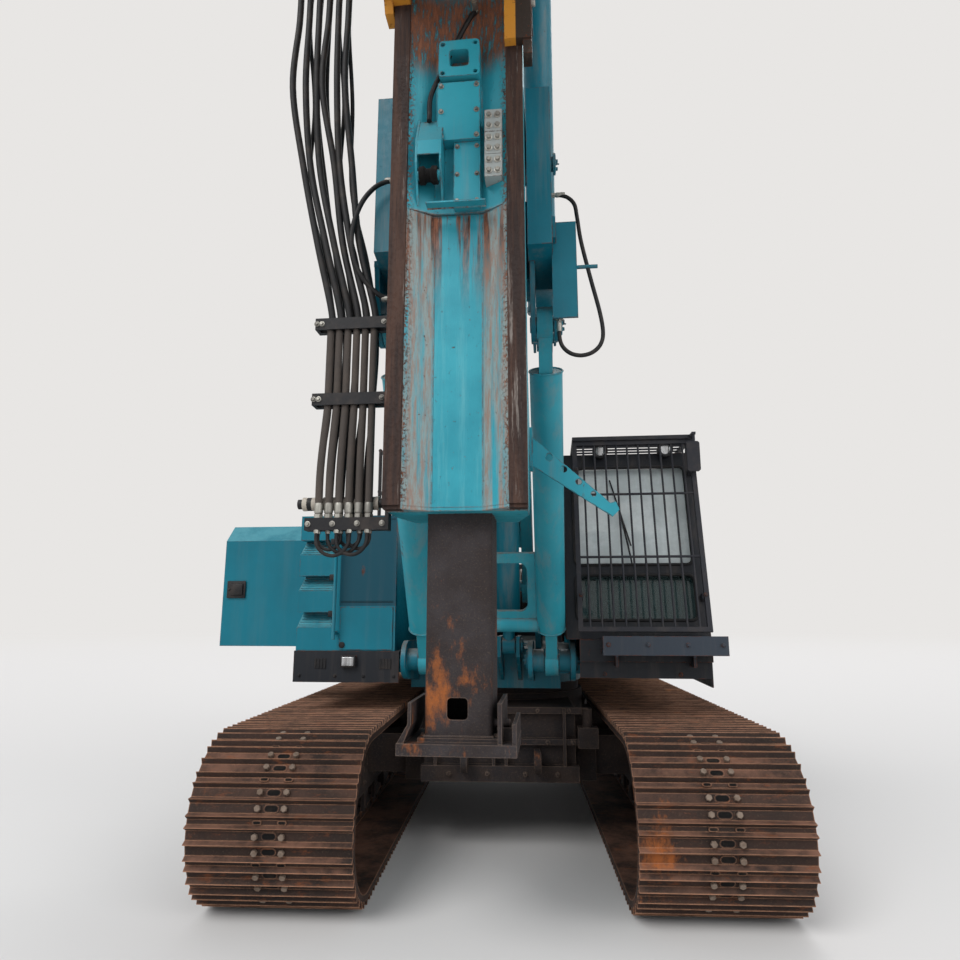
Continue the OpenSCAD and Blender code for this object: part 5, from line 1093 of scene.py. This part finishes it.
def hood_details():
    gaps, black, lips, liners, grip, cap, red, plates, feet = blanks(9)
    gap_z = (DECK_Z + 0.02, HOOD_Z - 0.19)
    for y in (-0.06, 0.42, 1.35, 2.28):
        slab(gaps, (BODY_X0 - 0.0015, BODY_X0 + 0.002), (y, y + 0.007), gap_z, 0)
    for y in (0.2, 1.74):
        slab(gaps, (BODY_X1 - 0.002, BODY_X1 + 0.0015), (y, y + 0.007), gap_z, 0)
    for x, z, height in (((-1.19, -0.76), 1.895, 0.003), ((-1.19, -0.76), 1.905, 0.003),
                         ((-1.2, -0.755), 2.565, 0.005)):
        slab(gaps, x, BOX_FRONT, (z, z + height), 0)
    piece("panel_gaps", "upper", "dark", gaps)
    for x, y, normal in ((BODY_X0, 0.85, LEFT), (BODY_X0, 1.9, LEFT), (BODY_X1, 2.1, RIGHT)):
        latch(black, (x, y, 1.75), normal)
    lock = [(-0.002, 0.024), (0.008, 0.024), (0.011, 0.018), (0.011, 0)]
    lathe(black, (-1.165, -1.549, 1.565), FRONT, lock, 20)
    # Liners of the three steps, with ribs
    down = Vector((0, -0.15, -0.12)).normalized()
    inward = Vector((0, -0.12, 0.15)).normalized()
    tread = Matrix((RIGHT, down, inward)).transposed().to_4x4()
    for top in [2.4 - 0.29 * i for i in range(3)]:
        m = Matrix.Translation((-1.40, -1.392, top - 0.002)) @ tread
        slab(liners, (-0.14, 0.138), (0.004, 0.184), (0.001, 0.006), 0.001, 1, m)
        for v in [0.02 + 0.035 * k for k in range(5)]:
            slab(liners, (-0.13, 0.128), (v, v + 0.008), (0.005, 0.011), 0.001, 1, m)
        slab(black, (-1.29, -1.245), (-1.548, -1.50), (top - 0.035, top + 0.012), 0.004, 2)
    # Vents with upright slots over the skirt's slots
    for x in (-1.377, -0.854):
        slab(black, (x, x + 0.092), (-1.5635, -1.559), (1.385, 1.461), 0.001, 1)
        for u in [x + 0.026 * k for k in range(4)]:
            slab(black, (u, u + 0.014), (-1.568, -1.5625), (1.385, 1.461), 0.0015, 1)
    # Lamp's bezel and bolts of the skirt
    slab(black, (-1.158, -1.037), (-1.6015, -1.596), (1.395, 1.487), 0.003, 2)
    bolts(black, (-1.50, -1.21, -0.98, -0.74), -1.56, 1.33, FRONT, 0.018)
    piece("hood_fittings", "upper", "black", black)
    piece("step_liners", "upper", "body", liners)
    for x, e, y, width in ((BODY_X0, -1, 0.5, 0.7), (BODY_X0, -1, 1.5, 0.7), (BODY_X1, 1, 1.8, 0.6)):
        for z in LOUVRE_ROWS:
            m = Matrix.Translation((x - e * 0.003, y, z)) @ Matrix.Rotation(-e * LOUVRE_TILT, 4, "Y")
            slab(lips, span(0.0, e * 0.022), (0.0, width), (0.0, 0.003), 0.001, 1, m)
    # Hinge plates on the roofs, with bolts
    hinges = [*product((0.2, 2.2), (-1.2, -0.5)), *product((0.5, 2.2), (0.8, 1.35))]
    for y, x in hinges:
        slab(lips, about(x, 0.04), about(y, 0.03), (HOOD_Z - 0.003, HOOD_Z + 0.008), 0.003)
        bolts(lips, about(x, 0.022), y, HOOD_Z + 0.008, UP, 0.016)
    piece("hood_lips", "upper", "body", lips)
    # Grip plates on the walkway, with raised studs
    for y0 in (0.1, 0.9, 1.7):
        slab(grip, (-0.72, -0.42), (y0, y0 + 0.7), (HOOD_Z - 0.002, HOOD_Z + 0.005), 0.002, 1)
        for i, j in product(range(5), range(12)):
            place = (-0.69 + 0.06 * i, y0 + 0.03 + 0.058 * j, HOOD_Z + 0.004)
            lathe(grip, place, UP, [(0, 0.011), (0.005, 0.007)], 6)
    piece("walkway_grip", "upper", "charcoal", grip)
    # Rain cap on the exhaust, and its heat guard
    lathe(cap, (*EXHAUST, HOOD_Z + 0.558), UP, [(-0.02, 0.071), (0.002, 0.071), (0.004, 0.064)], 24)
    m = Matrix.Translation((EXHAUST[0], 1.43, HOOD_Z + 0.565)) @ Matrix.Rotation(RAIN_CAP_TILT, 4, "X")
    lathe(cap, m @ Vector((0, 0.07, 0)), m.to_3x3() @ Vector(UP), [(0, 0.072), (0.004, 0.072)], 24)
    for u, v in circle(EXHAUST_GUARD_R, 16):
        tube(cap, [(EXHAUST[0] + u, EXHAUST[1] + v, HOOD_Z + h) for h in (0.03, 0.24)], 0.005, 6, 1)
    hoop = circle(EXHAUST_GUARD_R, 24)
    for h in (0.04, 0.135, 0.23):
        points = [(EXHAUST[0] + u, EXHAUST[1] + v, HOOD_Z + h) for u, v in hoop + hoop[:1]]
        tube(cap, points, 0.006, 6, 1, False)
    piece("exhaust_guard", "upper", "charcoal", cap)
    # Tail lamps, reflectors and bolts of the counterweight
    for x in (-0.95, 1.05):
        slab(plates, about(x, 0.11), (REAR_Y - 0.004, REAR_Y + 0.012), (2.22, 2.34), 0.006, 2)
        for u in about(x, 0.055):
            lathe(red, (u, REAR_Y + 0.010, 2.28), BACK, TAIL_LENS, 24)
    bolts(plates, (-0.5, 0.6), REAR_Y, (1.45, 1.86), BACK, 0.05)
    piece("tail_lamp_housings", "upper", "black", plates)
    piece("tail_lamps", "upper", "red", red)
    # Feet of the guard rails
    for x, y in product((BODY_X0 + 0.24, -0.36), (0.1, 0.9, 1.7, 2.4)):
        slab(feet, about(x, 0.05), about(y, 0.04), (HOOD_Z - 0.002, HOOD_Z + 0.010), 0.003)
        bolts(feet, about(x, 0.035), y, HOOD_Z + 0.010, UP, 0.016)
    piece("rail_feet", "upper", "black", feet)


def left_door_details():
    """Door drawn closed, then turned open about its hinge as in the photograph."""
    pin = Vector((HINGE_X, BAY_Y0, 0))
    swing = Matrix.Translation(pin) @ Matrix.Rotation(DOOR_OPEN, 4, "Z") @ Matrix.Translation(-pin)
    ribs, black, handle = blanks(3)
    inside = (BODY_X0 + 0.005, BODY_X0 + 0.028)
    for y0, y1, z0, z1 in (
            (-1.08, -0.262, 1.54, 1.575), (-1.08, -0.262, 2.38, 2.412), (-1.08, -1.05, 1.55, 2.41),
            (-0.292, -0.262, 1.55, 2.41), (-0.70, -0.66, 1.56, 2.40)):
        slab(ribs, inside, (y0, y1), (z0, z1), 0.003, 1, swing)
    piece("left_door_ribs", "hood_door_left", "body", ribs)
    normal = swing.to_3x3() @ Vector(LEFT)
    m = facing(swing @ Vector((BODY_X0 - 0.012, -0.38, 2.02)), normal)
    slab(black, (-0.085, 0.085), (-0.075, 0.075), (-0.004, 0.004), 0.004, 2, m)
    slab(black, (-0.045, 0.065), (-0.050, 0.050), (0.003, 0.018), 0.008, 2, m)
    lathe(black, m @ Vector((-0.065, 0, 0.003)), normal, [(0, 0.010), (0.006, 0.010), (0.008, 0.006)], 12)
    piece("left_door_latch", "hood_door_left", "black", black)
    latch(handle, (BODY_X1, 1.58, 2.0), RIGHT)
    piece("right_door_latch", "hood_door_right", "black", handle)


hood_details()
left_door_details()

# Winches: rope wound turn by turn, bolts on the flanges, caps on the geared motors

WINCH_Z = 2.05
WINCHES = (("main_winch", 0.6), ("aux_winch", 1.75))
CROWD_YZ = (-2.57, 7.2)
MOTOR_CAP = [(-0.002, 0.05), (0.008, 0.05), (0.012, 0.04), (0.012, 0)]


def rope_on(bm, start, radius, length, rope=0.026):
    """Rope wound on a drum: a scalloped profile, one arc for each turn."""
    turns = int(length / rope)
    profile = [(rope * (k + q / 5), radius + 0.45 * rope * math.sin(math.pi * q / 5))
               for k in range(turns) for q in range(5)]
    lathe(bm, start, RIGHT, profile + [(rope * turns, radius)], 40)


def bolted_ends(bm, ends, yz, rings):
    """Rings of bolts on the faces at two places along X, each ring a radius, a count, a size and a start."""
    for x, normal in zip(ends, (LEFT, RIGHT)):
        for ring in rings:
            ring_of_bolts(bm, (x, *yz), normal, *ring)


def winch_details():
    for body, y in WINCHES:
        rope, heads = blanks(2)
        rope_on(rope, (-0.178, y, WINCH_Z), 0.231, 0.676)
        piece(f"{body}_rope", body, "rope", rope)
        bolted_ends(heads, (-0.23, 0.55), (y, WINCH_Z), ((0.13, 8, 0.026), (0.235, 6, 0.022, 0.2)))
        for x, normal in ((-0.275, LEFT), (0.595, RIGHT)):
            lathe(heads, (x, y, WINCH_Z), normal, MOTOR_CAP, 20)
        piece(f"{body}_bolts", body, "bolt", heads)
    rope, heads, bearings = blanks(3)
    rope_on(rope, (-0.228, *CROWD_YZ), 0.191, 0.456, 0.022)
    bolted_ends(heads, (-0.26, 0.26), CROWD_YZ, ((0.12, 8, 0.022),))
    piece("crowd_winch_rope", "crowd_winch", "rope", rope)
    piece("crowd_winch_bolts", "crowd_winch", "bolt", heads)
    for x, normal in ((-0.28, LEFT), (0.60, RIGHT)):
        for body, y in WINCHES:
            ring_of_bolts(bearings, (x, y, WINCH_Z), normal, 0.10, 8, 0.022)
    piece("winch_bearing_bolts", "upper", "bolt", bearings)


winch_details()

# Rotary drive and sledge: flange bolts, motor hoses, gib bolts, wear plates

DRILL_Y = -4.4
DRIVE_Z = 5.65
DRIVE_CAP = [(-0.004, 0.085), (0.012, 0.085), (0.02, 0.07), (0.03, 0.03), (0.03, 0)]


def drive_details():
    heads, hoses, plates, flange = blanks(4)
    for z, normal, radius, count, size in (
            (0.96, UP, 0.58, 28, 0.03), (0.90, DOWN, 0.58, 28, 0.03), (1.25, UP, 0.50, 20, 0.028),
            (0, DOWN, 0.47, 20, 0.028)):
        ring_of_bolts(heads, (0, DRILL_Y, DRIVE_Z + z), normal, radius, count, size)
    for s in SIDES:
        x = s * 0.42
        y = DRILL_Y + 0.25
        ring_of_bolts(heads, (x, y, DRIVE_Z + 1.56), UP, 0.115, 8, 0.018)
        lathe(plates, (x, y, DRIVE_Z + 1.749), UP, DRIVE_CAP, 24)
        for dx in (-0.045, 0.045):
            low = dx * 1.2 - s * 0.05
            route = ((dx, 0.098, 1.66), (dx, 0.17, 1.66), (dx * 1.2, 0.28, 1.60), (dx * 1.3, 0.345, 1.44),
                     (dx * 1.3, 0.35, 1.30), (low, 0.33, 1.16), (low, 0.33, 1.148))
            tube(hoses, [(x + u, y + v, DRIVE_Z + w) for u, v, w in route], 0.016, 12)
            fitting(plates, (x + dx, y + 0.098, DRIVE_Z + 1.66), BACK, 0.016)
        claw_bolts = (5.45, 5.75, 6.1, 6.5, 6.9, 7.25)[0 if s > 0 else 1:]
        bolts(heads, s * 0.445, -3.455, claw_bolts, (s, 0, 0), 0.03)
        bolts(heads, s * 0.34, -3.57, (5.6, 6.0, 6.4, 6.8, 7.2), FRONT, 0.03)
        # Wear plate along the claw
        low = 5.14 if s > 0 else 5.49
        slab(plates, span(s * 0.4455, s * 0.451), (-3.50, -3.43), (low + 0.10, low + 0.26), 0.002, 1)
    piece("drive_bolts", "drive", "bolt", heads)
    piece("drive_hoses", "drive", "rubber", hoses)
    piece("drive_plates", "drive", "charcoal", plates)
    lathe(flange, (0, DRILL_Y, 5.245), UP, [(0, 0.321), (0.002, 0.345), (0.02, 0.345), (0.03, 0.321)], 48)
    collar = [(0, 0.3195), (0.002, 0.335), (0.03, 0.335), (0.033, 0.3195)]
    lathe(flange, (0, DRILL_Y, DRIVE_Z + 1.265), UP, collar, 48)
    piece("sleeve_collars", "drive_sleeve", "steel", flange)


drive_details()

# Linkage, foot, car body: weld beads, collars, bolts

PAD_TOP = 1.175
LINK_X, LINK_HUB_X = 0.49, 0.395


def ring_weld(bm, place, normal, radius):
    m = facing(place, normal)
    points = [m @ Vector((u, v, 0)) for u, v in circle(radius, 36)]
    tube(bm, points + points[:1], 0.007, 6, 1, False)


def line_of(low, high):
    """Start, direction and length of the line between two places in the Y-Z plane."""
    start, end = Vector((0, *low)), Vector((0, *high))
    return start, (end - start).normalized(), (end - start).length


def structure_details():
    rods, boom_welds, foot, car, head = blanks(5)
    start, along, length = line_of(LINK_LO, LINK_HI)
    for s in SIDES:
        for t in (0.3, length - 0.3):
            ring_weld(rods, start + along * t + Vector((s * LINK_X, 0, 0)), along, 0.108)
        ring_weld(rods, start + along * 0.33 + Vector((s * LINK_HUB_X, 0, 0)), RIGHT, 0.063)
    piece("link_rod_welds", "link_rods", "teal", rods)
    # Cylinders: glands, collars and the pipe along the barrel with its blocks
    for body, low, high, x, r, t0, t1 in (
        ("luff_barrels", LUFF_LO, LUFF_HI, 0.15, 0.095, 0.15, 1.26),
        ("mast_barrels", TILT_LO, TILT_HI, 0.47, 0.115, 0.2, 2.98),
    ):
        bm = bmesh.new()
        start, along, length = line_of(low, high)
        out = along.cross(Vector(RIGHT))
        pipe_ends = (t0 + 0.06, t1 - 0.12)
        for s in SIDES:
            base = start + Vector((s * x, 0, 0))
            lathe(bm, base + along * (t1 - 0.09), along, [
                (0, r), (0.002, r + 0.010), (0.085, r + 0.010), (0.091, r - 0.004), (0.096, r * 0.62)], 32)
            collar = [(0, r), (0.002, r + 0.006), (0.04, r + 0.006), (0.042, r)]
            lathe(bm, base + along * (t0 + 0.01), along, collar, 32)
            tube(bm, [base + out * (r + 0.022) + along * t for t in pipe_ends], 0.009, 8, 1)
            for t in (pipe_ends[0], (t0 + t1) / 2, pipe_ends[1]):
                tube(bm, [base + along * t + out * (r + h) for h in (-0.004, 0.03)], 0.016, 8, 1)
        piece(f"{body}_fittings", body, "teal_dark", bm)
    start, along, length = line_of(BOOM_LO, BOOM_HI)
    out = along.cross(Vector(RIGHT)) * 0.118
    for s, t in product(SIDES, (0.45, 0.69)):
        middle = start + along * t + Vector((s * 0.248, 0, 0))
        weld(boom_welds, middle - out, middle + out)
    piece("boom_welds", "boom", "teal", boom_welds)
    # Foot: bead round the leg, bolts and pin through the lug
    corners = [(x, y, PAD_TOP + 0.002) for x, y in rectangle(-0.18, 0.18, -3.29, -2.93)]
    for a, b in zip(corners, corners[1:] + corners[:1]):
        weld(foot, a, b, 0.009)
    bolts(foot, (-0.195, 0.195), (-3.24, -2.98), PAD_TOP, UP, 0.018)
    lathe(foot, (0.236, -3.22, 1.24), RIGHT, [(-0.06, 0.022), (0.03, 0.022), (0.034, 0.018)], 18)
    piece("foot_welds", "foot", "leg", foot)
    # Car body: bolts of the front and rear beams
    for e in SIDES:
        for row, y, z, size in (((-0.62, -0.42, -0.18, 0.14, 0.38, 0.58), 1.31, 0.8175, 0.026),
                                ((-0.55, -0.3, 0.3, 0.55), 1.31, 1.054, 0.022),
                                ((-0.4, -0.1, 0.2, 0.45), 1.325, 0.58, 0.026)):
            for x in row:
                bolt(car, PARK @ Vector((x, e * y, z)), PARK_TURN @ Vector((0, e, 0)), size)
    piece("car_body_bolts", "undercarriage", "frame", car)
    # Head: guard hoops over the sheaves, and bolts
    for (y, z), r in ((SHEAVE_MAIN, 0.42), (SHEAVE_AUX, 0.34)):
        angles = [math.radians(a) for a in range(40, 141, 10)]
        for x in (-0.05, 0.05):
            tube(head, [(x, y + r * math.cos(a), z + r * math.sin(a)) for a in angles], 0.008, 8, 1)
    for x, normal in ((-0.26, LEFT), (0.26, RIGHT)):
        for z in (19.75, 19.95):
            bolts(head, x, (-3.3, -3.1), z, normal, 0.03)
    piece("head_fittings", "mast", "teal_dark", head)


structure_details()

stage()
